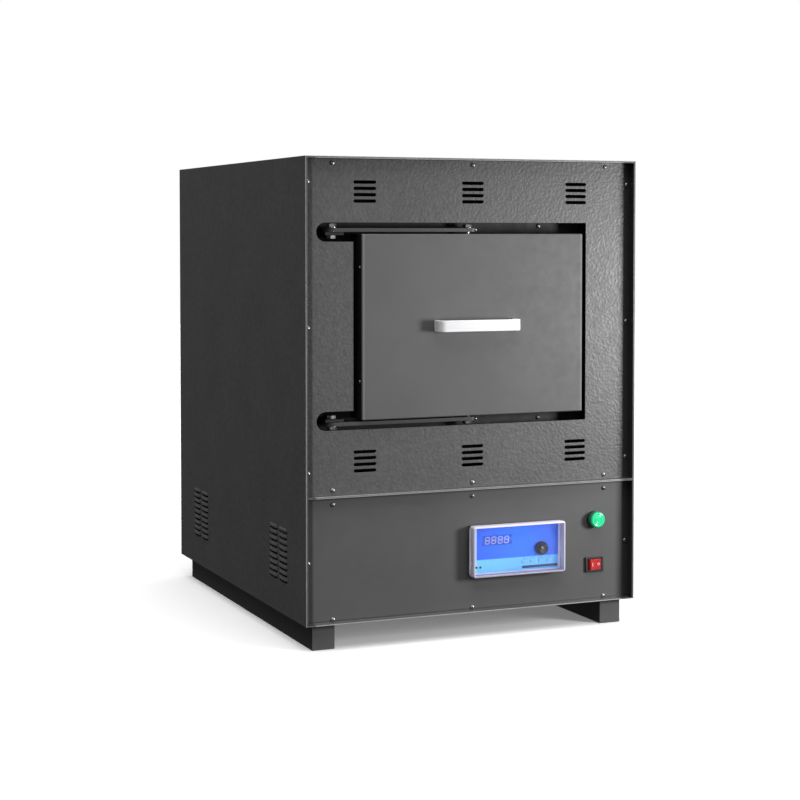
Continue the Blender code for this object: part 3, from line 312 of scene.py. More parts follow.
def housing_plastic(name):
    """Black case with a pale knuckle where the clear cover's pin passes."""
    paint = Paint(name, BLACK_PLASTIC, roughness=0.42)
    front = paint.across("Y", COVER_HIGH.y - 0.0002, COVER_HIGH.y - 0.0006)
    left = paint.across("X", COVER_LOW.x + 0.0034, COVER_LOW.x + 0.0030)
    knuckle = paint.mix(1.0, front, left, "MULTIPLY")
    paint.colour(paint.mix(knuckle, BLACK_PLASTIC, (0.74, 0.70, 0.82)))
    paint.bump(paint.noise(0.0009, 3.0), 0.25, 0.00006)


def clear_plastic(name):
    """Polycarbonate with a faint milky cast, which its edges gather."""
    paint = Paint(name, (0.965, 0.962, 1.0), roughness=0.03, transmission_weight=1.0, ior=1.27)
    paint.bump(paint.noise(0.03, 2.0), 0.04, 0.0003)


def blue_label(name):
    """Printed overlay: bright blue over a pale blue strip, with a pale margin at the left."""
    paint = Paint(name, (0.05, 0.2, 0.9), roughness=0.32)
    along = paint.across("X", LABEL_LOW.x, LABEL_HIGH.x)
    deep = paint.ramp(along, (0.0, (0.0, 0.105, 0.80)), (0.55, (0.0, 0.16, 0.95)), (1.0, (0.0, 0.10, 0.70)))
    pale = paint.ramp(along, (0.0, (0.15, 0.56, 0.90)), (1.0, (0.12, 0.45, 0.93)))
    strip = 0.295 * (LABEL_HIGH.z - LABEL_LOW.z)
    edge, margin = LABEL_LOW.z + strip, LABEL_LOW.x + 0.0045
    ink = paint.mix(paint.across("Z", edge - 0.0008, edge + 0.0008), pale, deep)
    ink = paint.mix(paint.across("X", margin, margin + 0.0006), (0.40, 0.62, 0.95), ink)
    paint.colour(ink)
    # The label has no lamp behind it: this faint emission is a painted glow that brightens it.
    paint.link(ink, paint.shader.inputs["Emission Color"])
    paint.set("Emission Strength", 0.08)
    paint.bump(paint.noise(0.0012, 2.0), 0.1, 0.00003)


def glowing(name, colour, roughness, strength, bands=(), **values):
    """Tinted translucent plastic that glows a little. The lamp and the digits are lit from behind; the rocker has
    no lamp, and its glow is painted light. The bands are painted shade.
    """
    paint = Paint(name, colour, roughness=roughness, emission_strength=strength, **values)
    tone = paint.banded(paint.tints(paint.noise(0.006, 3.0), colour, 0.9, 1.0), bands)
    paint.colour(tone)
    paint.link(tone, paint.shader.inputs["Emission Color"])
    paint.bump(paint.noise(0.0012, 2.0), 0.08, 0.00005)


# Bands of painted light and shade, as Paint.banded takes them.
# Painted highlight: the cabinet's front edges made 3.3 times as bright.
LIP_HIGHLIGHT = (3.3, "Y", CABINET_LOW.y + 0.0011, CABINET_LOW.y + 0.0008)
# Painted shadow: the front panels darkened beside the right rim, where its shadow falls.
RIGHT_RIM_SHADOW = (0.30, "X", PANEL_HIGH.x - 0.0255, PANEL_HIGH.x - 0.0165)
# Painted shade: the front panels darkened in the corner by the left flange.
LEFT_CORNER_SHADE = (0.32, "X", PANEL_LOW.x + 0.0158, PANEL_LOW.x + 0.0126)
# Painted shade: the lower panel darkened in the corner above its bottom flange.
FOOT_CORNER_SHADE = (0.45, "Z", PANEL_LOW.z + 0.0048, PANEL_LOW.z + 0.0032)
# Painted highlight: the top face of the lower panel's bottom flange made 2.6 times as bright.
FOOT_FLANGE_HIGHLIGHT = (2.6, "Z", PANEL_LOW.z + 0.0020, PANEL_LOW.z + 0.0017)
# Painted highlight: a bright stripe along the door's left and right edges.
DOOR_RIM_HIGHLIGHT = (1.6, "X", DOOR_HIGH.x - 0.0044, DOOR_HIGH.x - 0.0036, True)
# Painted shade: the door's sides, behind its front edge, made near black.
DOOR_SIDE_SHADE = (0.06, "Y", DOOR_LOW.y + 0.0024, DOOR_LOW.y + 0.0030)
# Painted shade: the outer side face of each skid darkened.
SKID_SIDE_SHADE = (0.45, "X", SKID_OUTER - 0.0006, SKID_OUTER - 0.0003, True)
# Painted shade: the lens's side wall darkened.
LENS_WALL_SHADE = (0.30, "Y", LAMP_LOW.y + 0.0020, LAMP_LOW.y + 0.0034)
# Painted shade: the lens darkened in the grooves between its rings, and further back.
LENS_GROOVE_SHADE = (0.62, "Y", LAMP_LOW.y + 0.0002, LAMP_LOW.y + 0.0005)
# The front panels' painted highlight and painted shade.
FRAME_LIGHT_AND_SHADE = [LIP_HIGHLIGHT, RIGHT_RIM_SHADOW, LEFT_CORNER_SHADE]

CASING = (0.085, 0.085, 0.087)
BLACK_PLASTIC = (0.016, 0.016, 0.017)

# The finishes: one for each of the record's material slots, and the others that pieces and nodes take by name.
# The coats below take bands of painted highlight and painted shade.
powder_coat("casing_paint", CASING, 0.46, 0.0060, 0.00008, [LIP_HIGHLIGHT])
powder_coat("fascia_paint", CASING, 0.40, 0.0044, 0.00046, FRAME_LIGHT_AND_SHADE)
powder_coat("panel_paint", CASING, 0.44, bands=[*FRAME_LIGHT_AND_SHADE, FOOT_CORNER_SHADE, FOOT_FLANGE_HIGHLIGHT])
# The skids: the casing's coat made 1.08 times as bright as painted light, with painted shade on their outer sides.
powder_coat("skid_paint", tinted(CASING, 1.08), 0.46, bands=[SKID_SIDE_SHADE])
# The door: the casing's coat made 1.16 times as bright as painted light, with a painted highlight along its side
# edges and painted shade on its sides.
powder_coat("door_paint", tinted(CASING, 1.16), 0.52, bands=[DOOR_RIM_HIGHLIGHT, DOOR_SIDE_SHADE])
powder_coat("black_steel", (0.012, 0.012, 0.013), 0.5, 0.003, 0.00006)
powder_coat("blackened", (0.0045, 0.0045, 0.005), 0.62)
powder_coat("dark_shell", (0.03, 0.03, 0.032), 0.6)
plated("zinc_plate", (0.34, 0.34, 0.35), 0.34)
# The hinge fasteners: the screws' zinc made about twice as bright, as painted light.
plated("zinc_painted_bright", (0.66, 0.66, 0.68), 0.28)
# The hinge arms: the casing's coat darkened to 0.55 as painted shade, for the shade they sit in beside the door.
powder_coat("arm_paint", tinted(CASING, 0.55), 0.5, 0.003, 0.00006)
galvanised("galvanised_sheet")
fibre_board("fibre_board", (0.80, 0.77, 0.69))
woven_tape("gasket")
clouded(
    "white_ceramic", (0.80, 0.78, 0.71), (0.74, 0.71, 0.63), (0.84, 0.82, 0.76), 0.02, 0.002, 0.2,
    roughness=0.35, coat_weight=0.3,
)
carbide("silicon_carbide")
clouded(
    "resistance_wire", (0.17, 0.15, 0.135), (0.10, 0.09, 0.085), (0.26, 0.21, 0.17), 0.012, 0.0008, 0.4,
    metallic=0.7, roughness=0.55,
)
satin_aluminium("satin_aluminium")
moulded("black_plastic", BLACK_PLASTIC, 0.42)
housing_plastic("housing_plastic")
blue_label("blue_label")
moulded("print_dark", (0.012, 0.02, 0.09), 0.4, 0.0012)
moulded("print_light", (0.62, 0.74, 0.95), 0.4, 0.0012)
moulded("display_window", (0.0, 0.12, 0.78), 0.32, 0.003)
glowing("digit", (0.62, 0.52, 0.45), 0.35, 0.20)
moulded("dial_plastic", (0.003, 0.006, 0.025), 0.5)
moulded("print_white", (0.85, 0.80, 0.80), 0.35, 0.0015)
moulded("pale_bezel", (0.62, 0.64, 0.88), 0.35, 0.0015)
moulded("frosted_wall", (0.78, 0.74, 0.86), 0.40, 0.002, transmission_weight=0.12, ior=1.45)
clear_plastic("clear_cover")
glowing("green_lens", (0.03, 0.76, 0.33), 0.16, 0.26, [LENS_WALL_SHADE, LENS_GROOVE_SHADE], coat_weight=0.5)
# The rocker has no lamp: its faint emission is a painted glow.
glowing("red_rocker", (0.50, 0.026, 0.028), 0.24, 0.08, coat_weight=0.5)
moulded("key_rubber", (0.18, 0.52, 0.86), 0.55)


def by_node(groups):
    """Turns {value: nodes} into {node: value}."""
    return {node: value for value, nodes in groups.items() for node in nodes.split()}


# The finish of a CAD node that doesn't take its material slot's.
NODE_FINISH = by_node({
    "housing_plastic": "controller_housing",
    "fascia_paint": "upper_fascia",
    "panel_paint": "lower_fascia",
    "skid_paint": "left_skid right_skid",
    "blackened": "mouth_plate upper_hinge_lug lower_hinge_lug",
    "arm_paint": "upper_hinge_arm lower_hinge_arm",
    "dark_shell": "furnace_shell",
    "gasket": "door_gasket",
})
# The width of the bevel along a CAD node's edges.
NODE_EDGE = by_node({
    0.0003: "rear_panel mouth_plate",
    0.0004: "outer_wrap upper_fascia lower_fascia rear_terminal_cover controller_housing",
    0.0005: "upper_hinge_lug lower_hinge_lug",
    0.0006: "upper_hinge_arm lower_hinge_arm",
    0.0007: "switch_housing",
    0.0008: "left_skid right_skid solid_state_relay",
    0.0012: "insulation_floor insulation_roof insulation_rear insulation_left insulation_right",
    0.0015: "throat_ring",
    0.0020: "door_insulation",
})


# ---------------------------------------------------------------- mesh helpers
def add_bevel(piece, width, segments, angle):
    step = piece.modifiers.new("edges", "BEVEL")
    step.width = width
    step.segments = segments
    step.limit_method = "ANGLE"
    step.angle_limit = math.radians(angle)


def dress(node):
    """Gives a CAD node its finish and a small real edge radius. Its shape and place stay the CAD's."""
    piece = NODES[node]
    slot = next(part["material_slot"] for part in RECORD["subparts"] if part["node"] == node)
    piece.material_slots[0].material = MATERIALS[NODE_FINISH.get(node, slot)]
    weld = piece.modifiers.new("weld", "WELD")
    weld.merge_threshold = 0.00001
    for name in ("custom_normal", "sharp_edge", "sharp_face"):
        if name in piece.data.attributes:
            piece.data.attributes.remove(piece.data.attributes[name])
    piece.data.shade_smooth()
    if node in NODE_EDGE:
        add_bevel(piece, NODE_EDGE[node], 2, 40)
    smooth = piece.modifiers.new("normals", "WEIGHTED_NORMAL")
    smooth.keep_sharp = True


def as_mesh(name, bm):
    """A mesh from a bmesh, with its faces turned outwards."""
    bmesh.ops.recalc_face_normals(bm, faces=bm.faces)
    mesh = bpy.data.meshes.new(name)
    bm.to_mesh(mesh)
    bm.free()
    return mesh


def as_bmesh(mesh):
    bm = bmesh.new()
    bm.from_mesh(mesh)
    return bm


def new_piece(name, shape, finish, body, replaces=None, angle=30, bevel=None, place=None):
    """A finished piece from a mesh or a bmesh: its place, shading and material, the body that it rides on and the
    node that it replaces."""
    mesh = as_mesh(name, shape) if isinstance(shape, bmesh.types.BMesh) else shape
    piece = bpy.data.objects.new(name, mesh)
    bpy.context.scene.collection.objects.link(piece)
    if place is not None:
        piece.matrix_world = place
    if not mesh.materials:
        mesh.materials.append(MATERIALS[finish])
    if bevel:
        add_bevel(piece, *bevel)
    mesh.shade_smooth()
    mesh.set_sharp_from_angle(angle=math.radians(angle))
    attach(piece, body)
    if replaces:
        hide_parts(replaces)


def arc(centre, radius, start, end, steps):
    angles = [math.radians(start + (end - start) * i / steps) for i in range(steps + 1)]
    return [(centre[0] + radius * math.cos(a), centre[1] + radius * math.sin(a)) for a in angles]


def rounded_rectangle(low, high, radius, steps):
    return (
        arc((high[0] - radius, low[1] + radius), radius, -90, 0, steps)
        + arc((high[0] - radius, high[1] - radius), radius, 0, 90, steps)
        + arc((low[0] + radius, high[1] - radius), radius, 90, 180, steps)
        + arc((low[0] + radius, low[1] + radius), radius, 180, 270, steps)
    )


def mirrored(value):
    return (-value, value)


def facing(spot, direction):
    """A place at a spot, turned so that its Z points along direction."""
    return Matrix.Translation(spot) @ direction.to_track_quat("Z", "Y").to_matrix().to_4x4()


def bridge(bm, one, two):
    """Faces between two closed rings of points. A ring of one point makes a fan."""
    count = max(len(one), len(two))
    for i in range(count):
        j = (i + 1) % count
        corners = (one[i % len(one)], one[j % len(one)], two[j % len(two)], two[i % len(two)])
        bm.faces.new(list(dict.fromkeys(corners)))


def bridge_all(bm, rings, closed=False):
    """Faces along a stack of rings. closed joins the last ring to the first."""
    for one, two in zip(rings, rings[1:] + rings[:1] if closed else rings[1:]):
        bridge(bm, one, two)


def turned(profile, place=Matrix.Identity(4), steps=32, wobble=None, closed=False, bm=None):
    """A turned shape, added to bm if it is given. profile is (radius, height) along the axis, and closed joins
    its end to its start. wobble(index, angle) scales the radius of a point of the profile at an angle."""
    bm = bm or bmesh.new()
    rings = []
    for index, (radius, height) in enumerate(profile):
        ring = []
        for i in range(steps if radius else 1):
            a = 2 * math.pi * i / steps
            r = radius * (wobble(index, a) if wobble else 1.0)
            ring.append(bm.verts.new(place @ Vector((r * math.cos(a), r * math.sin(a), height))))
        rings.append(ring)
    bridge_all(bm, rings, closed)
    return bm


def prism(outline, low, high, place=Matrix.Identity(4), bm=None):
    """A flat outline in X and Y pushed out from z low to z high, added to bm if it is given."""
    bm = bm or bmesh.new()
    bottom = [bm.verts.new(place @ Vector((a, b, low))) for a, b in outline]
    top = [bm.verts.new(place @ Vector((a, b, high))) for a, b in outline]
    bm.faces.new(bottom[::-1])
    bm.faces.new(top)
    bridge(bm, bottom, top)
    return bm


# A place for outlines drawn as (x, z) that are pushed out along +Y.
UPRIGHT = Matrix(((1, 0, 0, 0), (0, 0, 1, 0), (0, 1, 0, 0), (0, 0, 0, 1)))


def boolean_mesh(name, target, cutter, operation="DIFFERENCE"):
    """The mesh left when one bmesh is cut by another."""
    pair = [bpy.data.objects.new(name, as_mesh(name, bm)) for bm in (target, cutter)]
    for helper in pair:
        bpy.context.scene.collection.objects.link(helper)
    step = pair[0].modifiers.new("cut", "BOOLEAN")
    step.operation = operation
    step.solver = "EXACT"
    step.object = pair[1]
    graph = bpy.context.evaluated_depsgraph_get()
    result = bpy.data.meshes.new_from_object(pair[0].evaluated_get(graph))
    for helper in pair:
        bpy.data.objects.remove(helper)
    result.name = name
    return result


# ---------------------------------------------------------------- fasteners
M8_RADIUS, M8_FLATS = 0.0040, 0.013


def pan_head_mesh(radius, height):
    """A pan head with a cross recess. Z points out of the head, and z = 0 is the surface it sits on."""
    slopes = [math.radians(angle) for angle in (20, 40, 60, 75)]
    crown = [(radius * math.cos(a), height * (0.25 + 0.75 * math.sin(a))) for a in slopes]
    profile = [(0.0, -0.0002), (radius, -0.0002), (radius, 0.0), (radius, 0.25 * height), *crown, (0.0, height)]
    arm, wide, floor = radius * 0.52, radius * 0.13, height * 0.35
    cross, quarter = [], [(arm, -wide), (arm, wide), (wide, wide)]
    for _ in range(4):
        cross += quarter
        quarter = [(-b, a) for a, b in quarter]
    mesh = boolean_mesh("pan_head", turned(profile, steps=28), prism(cross, floor, height * 2))
    mesh.materials.append(MATERIALS["zinc_plate"])
    return mesh


def rows(xs, y, zs):
    """Places in rows along X."""
    return [Vector((x, y, z)) for z in zs for x in xs]


def columns(xs, y, zs):
    """Places in columns along Z."""
    return [Vector((x, y, z)) for x in xs for z in zs]


def place_screws(name, mesh, spots, out, body, spin=17.0):
    """One screw at each spot, with its head pointing along out."""
    for index, spot in enumerate(spots, 1):
        turn = Matrix.Rotation(math.radians(spin * index), 4, "Z")
        place = facing(spot, out) @ turn
        new_piece(f"{name}_{index:02d}", mesh, "zinc_plate", body, place=place)


def hex_solid(name, flats, height, bore=None):
    """A hexagon with both rims chamfered, bored if it is a nut. Z runs along the axis from 0 to height."""
    corner, lip = flats / math.sqrt(3), flats * 0.485
    rise, wide = (corner - lip) * 0.58, corner * 1.02
    hexagon = prism(arc((0, 0), corner, 0, 300, 5), 0.0, height)
    cone = turned([(0, 0), (lip, 0), (wide, rise), (wide, height - rise), (lip, height), (0, height)], steps=48)
    mesh = boolean_mesh(name, hexagon, cone, "INTERSECT")
    if not bore:
        return mesh
    hole = turned([(0, -0.01), (bore, -0.01), (bore, height + 0.01), (0, height + 0.01)])
    return boolean_mesh(name, as_bmesh(mesh), hole)


def threaded_profile(radius, low, high):
    """The outline of an M8 thread along a shank, as a stack of ridges."""
    pitch, root = 0.00125, radius * 0.86
    points = []
    for i in range(int((high - low) / pitch)):
        z = low + i * pitch
        points += [(root, z), (radius, z + pitch / 2)]
    return points + [(root, high)]


def washer(inner, outer, low, high, place):
    """A flat ring with its outer edges eased."""
    lip = (high - low) * 0.2
    loop = [(inner, low), (outer - lip, low), (outer, low + lip), (outer, high - lip), (outer - lip, high)]
    return turned([*loop, (inner, high)], place, closed=True)


# ---------------------------------------------------------------- cabinet pieces
def cabinet_screws(screw):
    """Pan heads round the front and rear panels, the terminal cover, the mouth plate and the hinge lugs."""
    rim, edges = FASCIA_HIGH.x - 0.046, mirrored(FASCIA_HIGH.x - 0.0066)
    thirds, inset = (-rim, 0, rim), 0.008
    spots = rows(thirds, FASCIA_Y, (FASCIA_HIGH.z - inset, FASCIA_LOW.z + inset))
    spots += columns(edges, FASCIA_Y, (FASCIA_HIGH.z - 0.036, DOOR_Z, FASCIA_LOW.z + 0.035))
    place_screws("upper_fascia_screw", screw, spots, -Y, "cabinet")
    spots = rows(thirds, FASCIA_Y, (PANEL_HIGH.z - 0.013, PANEL_LOW.z + 0.0052))
    spots += rows(edges, FASCIA_Y, [(PANEL_LOW.z + PANEL_HIGH.z) / 2 - 0.004])
    place_screws("lower_fascia_screw", screw, spots, -Y, "cabinet")

    heights = (REAR_LOW.z + 0.014, REAR_LOW.z + 0.24, REAR_HIGH.z - 0.24, REAR_HIGH.z - 0.014)
    spots = columns(mirrored(REAR_HIGH.x - 0.012), REAR_HIGH.y, heights)
    spots += columns([0], REAR_HIGH.y, (heights[0], heights[-1]))
    place_screws("rear_panel_screw", screw, spots, Y, "cabinet")
    low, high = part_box("rear_terminal_cover")
    spots = columns(mirrored(high.x - 0.010), high.y, (low.z + 0.010, high.z - 0.010))
    place_screws("terminal_cover_screw", screw, spots, Y, "cabinet")

    mouth_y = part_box("mouth_plate")[0].y
    spots = columns([0.133], mouth_y, (DOOR_Z + 0.1525, DOOR_Z - 0.1525))
    spots += rows(mirrored(0.235), mouth_y, (DOOR_Z + 0.206, DOOR_Z - 0.206))
    place_screws("mouth_plate_screw", screw, spots, -Y, "cabinet")
    foot_thick, foot_middle = 0.005, 0.012
    for word, side in (("upper", 1), ("lower", -1)):
        low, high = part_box(f"{word}_hinge_lug")
        foot_z = low.z + foot_middle if side > 0 else high.z - foot_middle
        spots = [Vector((HINGE.x + x, high.y - foot_thick + GAP, foot_z)) for x in mirrored(0.0085)]
        place_screws(f"{word}_lug_screw", screw, spots, -Y, "cabinet")


def louvre_hood(bm, side, middle_y, slot_z):
    """One pressed hood: rings round its section at places along it, closed at both ends."""
    half_length, proud, lip, root, sunk = 0.0185, 0.0020, 0.0017, 0.0062, 0.0004
    along, around = 14, 5
    rings = []
    for i in range(along + 1):
        t = -1 + 2 * i / along
        swell = max(1 - t * t, 0.0) ** 0.4
        section = [(-sunk, lip)]
        for j in range(around + 1):
            a = math.radians(90 - 90 * j / around)
            section.append((proud * swell * math.sin(a) - 0.0002, lip + (root - lip) * math.cos(a)))
        section.append((-sunk, root))
        y = middle_y + t * half_length
        rings.append([bm.verts.new((side * (CABINET_HIGH.x + out), y, slot_z + up)) for out, up in section])
    bridge_all(bm, rings)
    bm.faces.new(rings[0][::-1])
    bm.faces.new(rings[-1])


def side_louvres():
    """A hood over each slot in the cabinet's sides."""
    count, pitch, middle_z, group_y, column = 9, 0.0095, 0.1295, 0.2075, 0.0225
    for word, side in (("left", -1), ("right", 1)):
        bm = bmesh.new()
        for middle_y in [g + c for g in mirrored(group_y) for c in mirrored(column)]:
            for row in range(count):
                louvre_hood(bm, side, middle_y, middle_z + (row - (count - 1) / 2) * pitch)
        new_piece(f"{word}_louvre_hoods", bm, "casing_paint", "cabinet", angle=50)


def cable_gland():
    """Ribbed dome nut, hexagon body and sleeve, bored for a cable."""
    low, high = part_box("cable_gland")
    centre, start = (low + high) / 2, REAR_HIGH.y + GAP
    length, bore, ribs, base = high.y - start, 0.0045, 18, 0.0075
    dome = length - base
    profile = [(bore, 0.0), (0.0130, 0.0), (0.0130, 0.0012), (0.0124, 0.0018), (0.0105, 0.0020), (0.0105, base)]
    profile += [(0.0117, 0.0078), (0.0120, 0.0085), (0.0119, base + 0.55 * dome), (0.0112, base + 0.8 * dome)]
    profile += [(0.0092, length), (0.0062, length), (bore, length - 0.002)]

    def ribbed(index, angle):
        return 1.0 + 0.03 * math.cos(ribs * angle) if 6 <= index <= 8 else 1.0

    place = facing((centre.x, start, centre.z), Y)
    shape = turned(profile, place, 108, ribbed, closed=True)
    new_piece("gland_dome", shape, "black_plastic", "cabinet", replaces="cable_gland", angle=35)
    nut = hex_solid("gland_nut", 0.0225, 0.0042, 0.0108)
    place = facing((centre.x, start + 0.0024, centre.z), Y)
    new_piece("gland_nut", nut, "black_plastic", "cabinet", place=place)


# ---------------------------------------------------------------- hinge and door pieces
def zinc_turned(name, shape, body, replaces=None, angle=40):
    """A turned fastener, or part of one."""
    new_piece(name, shape, "zinc_painted_bright", body, replaces, angle)


def zinc_hexagon(name, height, body, place, replaces=None, bore=None):
    """An M8 bolt head, or a nut if it has a bore."""
    shape = hex_solid(name, M8_FLATS, height, bore)
    new_piece(name, shape, "zinc_painted_bright", body, replaces, place=place)


def near_and_far(node, side):
    """A node's lowest and highest Z, the other way round for the lower hinge, whose side is -1."""
    low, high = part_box(node)
    return (low.z, high.z)[::side]


def lug_fasteners(word, side):
    """The bolt through a lug, with its head, washer and nut."""
    near, far = near_and_far(f"{word}_hinge_bolt", side)
    length, head, thick = abs(far - near), 0.0050, 0.0010
    thread = head + 0.45 * (length - head)
    profile = [(0.0, head - 0.0005), (M8_RADIUS, head - 0.0005), (M8_RADIUS, thread)]
    profile += threaded_profile(M8_RADIUS, thread, length - 0.0012)
    profile += [(0.0030, length), (0.0, length)]
    place = facing((HINGE.x, HINGE.y, near), Z * side)
    zinc_turned(f"{word}_lug_bolt_shank", turned(profile, place, 24), "cabinet", f"{word}_hinge_bolt")
    zinc_hexagon(f"{word}_lug_bolt_head", head, "cabinet", place)

    nut_face = near_and_far(f"{word}_hinge_nut", side)[0]
    stand = facing((HINGE.x, HINGE.y, nut_face), Z * side)
    zinc_turned(f"{word}_lug_washer", washer(0.0042, 0.0080, 0.0, thick, stand), "cabinet")
    place = stand @ Matrix.Translation((0, 0, thick)) @ nut_turn(side)
    zinc_hexagon(f"{word}_lug_nut", 0.0055, "cabinet", place, f"{word}_hinge_nut", 0.0041)


def nut_turn(side):
    """How far a nut or a bolt head happens to be turned."""
    return Matrix.Rotation(math.radians(-13.0 * side), 4, "Z")


def pivot_fasteners(word, side):
    """The bolt that the door turns on at the end of an arm, with its head and washer."""
    inner, outer = near_and_far(f"{word}_door_pivot", side)
    seat = near_and_far(f"{word}_hinge_arm", side)[1] + side * GAP
    thick, into_head = 0.0008, 0.0010
    stand = facing((PIVOT.x, PIVOT.y, seat), Z * side)
    zinc_turned(f"{word}_pivot_washer", washer(0.0042, 0.0075, 0.0, thick, stand), "door")
    place = stand @ Matrix.Translation((0, 0, thick)) @ nut_turn(side)
    zinc_hexagon(f"{word}_pivot_bolt_head", abs(outer - seat) - thick, "door", place, f"{word}_door_pivot")
    down = abs(seat - inner)
    profile = [(0.0, -down), (0.0032, -down), *threaded_profile(M8_RADIUS, 0.0012 - down, -0.0105)]
    profile += [(M8_RADIUS, -0.0100), (M8_RADIUS, into_head), (0.0, into_head)]
    zinc_turned(f"{word}_pivot_bolt_shank", turned(profile, stand, 24), "door")


def arm_stop_screw(word):
    """A domed screw in the round end of an arm."""
    low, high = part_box(f"{word}_hinge_arm")
    angle, head, rim = math.radians(-58), 0.0026, 0.0004
    radial = Vector((math.cos(angle), math.sin(angle), 0))
    edge = Vector((PIVOT.x, PIVOT.y, (low.z + high.z) / 2)) + radial * (high.y - HINGE.y - 0.0002)
    slopes = [math.radians(slope) for slope in (0, 22, 45, 67)]
    profile = [(0.0, 0.0), (head, 0.0), *((head * math.cos(a), rim + head * math.sin(a)) for a in slopes)]
    dome = turned([*profile, (0.0, rim + head)], facing(edge, radial), 24)
    zinc_turned(f"{word}_arm_stop_screw", dome, "door_arms", angle=50)


def hinge_fasteners():
    """The fasteners of both hinges."""
    for word, side in (("upper", 1), ("lower", -1)):
        lug_fasteners(word, side)
        pivot_fasteners(word, side)
        arm_stop_screw(word)


def door_side_screws(screw):
    heights = (DOOR_HIGH.z - 0.0505, DOOR_LOW.z + 0.0575)
    for word, side in (("left", -1), ("right", 1)):
        spots = columns([side * DOOR_HIGH.x], DOOR_LOW.y + 0.0105, heights)
        place_screws(f"door_{word}_screw", screw, spots, X * side, "door")


def door_handle():
    """Flat strap bent to a D, with eased edges, and the two screws that hold it from inside the door."""
    strap, corner, steps = 0.006, 0.010, 10
    half, front, back = HANDLE_HIGH.x, HANDLE_LOW.y, HANDLE_HIGH.y
    inner = corner - strap
    right, left = (half - corner, front + corner), (-half + corner, front + corner)
    outline = [(half, back), *arc(right, corner, 0, -90, steps), *arc(left, corner, -90, -180, steps)]
    outline += [(-half, back), (-half + strap, back)]
    outline += [*arc(left, inner, -180, -90, steps), *arc(right, inner, -90, 0, steps), (half - strap, back)]
    pull = prism(outline, HANDLE_LOW.z, HANDLE_HIGH.z)
    new_piece("door_pull", pull, "satin_aluminium", "door", "door_handle", 35, (0.0009, 3, 50))
    profile = [(0.0, -0.0115), (0.0015, -0.0110), (0.0015, -0.0003), (0.0042, -0.0003), (0.0042, 0.0008)]
    profile += [(0.0030, 0.0020), (0.0, 0.0023)]
    for word, side in (("left", -1), ("right", 1)):
        stand = facing((side * (half - strap / 2), DOOR_LOW.y + 0.0022, DOOR_Z), Y)
        new_piece(f"{word}_handle_screw", turned(profile, stand, 24), "zinc_plate", "door", angle=40)


# ---------------------------------------------------------------- controller pieces
def shell_ring(bm, inset, y, corner, low, high):
    """A rounded rectangle of points at a depth, inset from the rectangle between low and high."""
    near, far = (low.x + inset, low.z + inset), (high.x - inset, high.z - inset)
    return [bm.verts.new((a, y, b)) for a, b in rounded_rectangle(near, far, max(corner - inset, 0.0004), 6)]


def lid_rings(bm, low, high, corner, edge, start_inset):
    """Rings up a rounded lid, from its rim to its flat front, start_inset inside the outer surface."""
    rings = [shell_ring(bm, start_inset, high.y, corner, low, high)]
    radius = max(edge - start_inset, 0.0005)
    front = low.y + start_inset
    for i in range(7):
        a = math.radians(90 * i / 6)
        inset = start_inset + radius * (1 - math.cos(a))
        rings.append(shell_ring(bm, inset, front + radius * (1 - math.sin(a)), corner, low, high))
    bridge_all(bm, rings)
    bm.faces.new(rings[-1])
    return rings[0]


def controller_cover():
    """Clear lid with rounded edges, frosted along its walls, that turns on a pin down its left side."""
    wall, corner, edge = 0.0020, 0.0040, 0.0028
    half_notch, knuckle, knuckle_radius, pin_radius = 0.0205, 0.0140, 0.0016, 0.0010
    pin = JOINT_AT["cover_hinge"]
    low, high = Vector((pin.x, COVER_LOW.y, COVER_LOW.z)), COVER_HIGH
    shell = bmesh.new()
    bridge(shell, *(lid_rings(shell, low, high, corner, edge, inset) for inset in (0.0, wall)))
    left, right, front, back = pin.x - 0.004, pin.x + 0.003, pin.y - 0.0024, high.y + 0.002
    outline = [(left, front), (right, front), (right, back), (left, back)]
    mesh = boolean_mesh("cover_shell", shell, prism(outline, pin.z - half_notch, pin.z + half_notch))
    knuckles = bmesh.new()
    loop = [(0.0, 0.0), (knuckle_radius, 0.0), (knuckle_radius, knuckle), (0.0, knuckle)]
    for z in (pin.z - half_notch - knuckle, pin.z + half_notch):
        turned(loop, Matrix.Translation((pin.x, pin.y, z)), 24, bm=knuckles)
    mesh = boolean_mesh("cover_body", as_bmesh(mesh), knuckles, "UNION")
    reach = 0.06
    loop = [(0.0, -reach), (pin_radius, -reach), (pin_radius, reach), (0.0, reach)]
    mesh = boolean_mesh("clear_lid", as_bmesh(mesh), turned(loop, Matrix.Translation(pin), 16))
    mesh.materials.clear()
    mesh.materials.append(MATERIALS["clear_cover"])
    mesh.materials.append(MATERIALS["frosted_wall"])
    for face in mesh.polygons:
        is_window = abs(face.normal.y) > 0.999 and face.area > 0.001
        face.material_index = 0 if is_window else 1
    new_piece("clear_lid", mesh, "clear_cover", "controller_cover", replaces="controller_cover", angle=40)


def thin_plate(name, outline, front, thick):
    """A printed or fitted plate on the control face: an outline in X and Z, its front at y = front."""
    new_piece(name, prism(outline, front, front + thick, UPRIGHT), "print_dark", "cabinet")


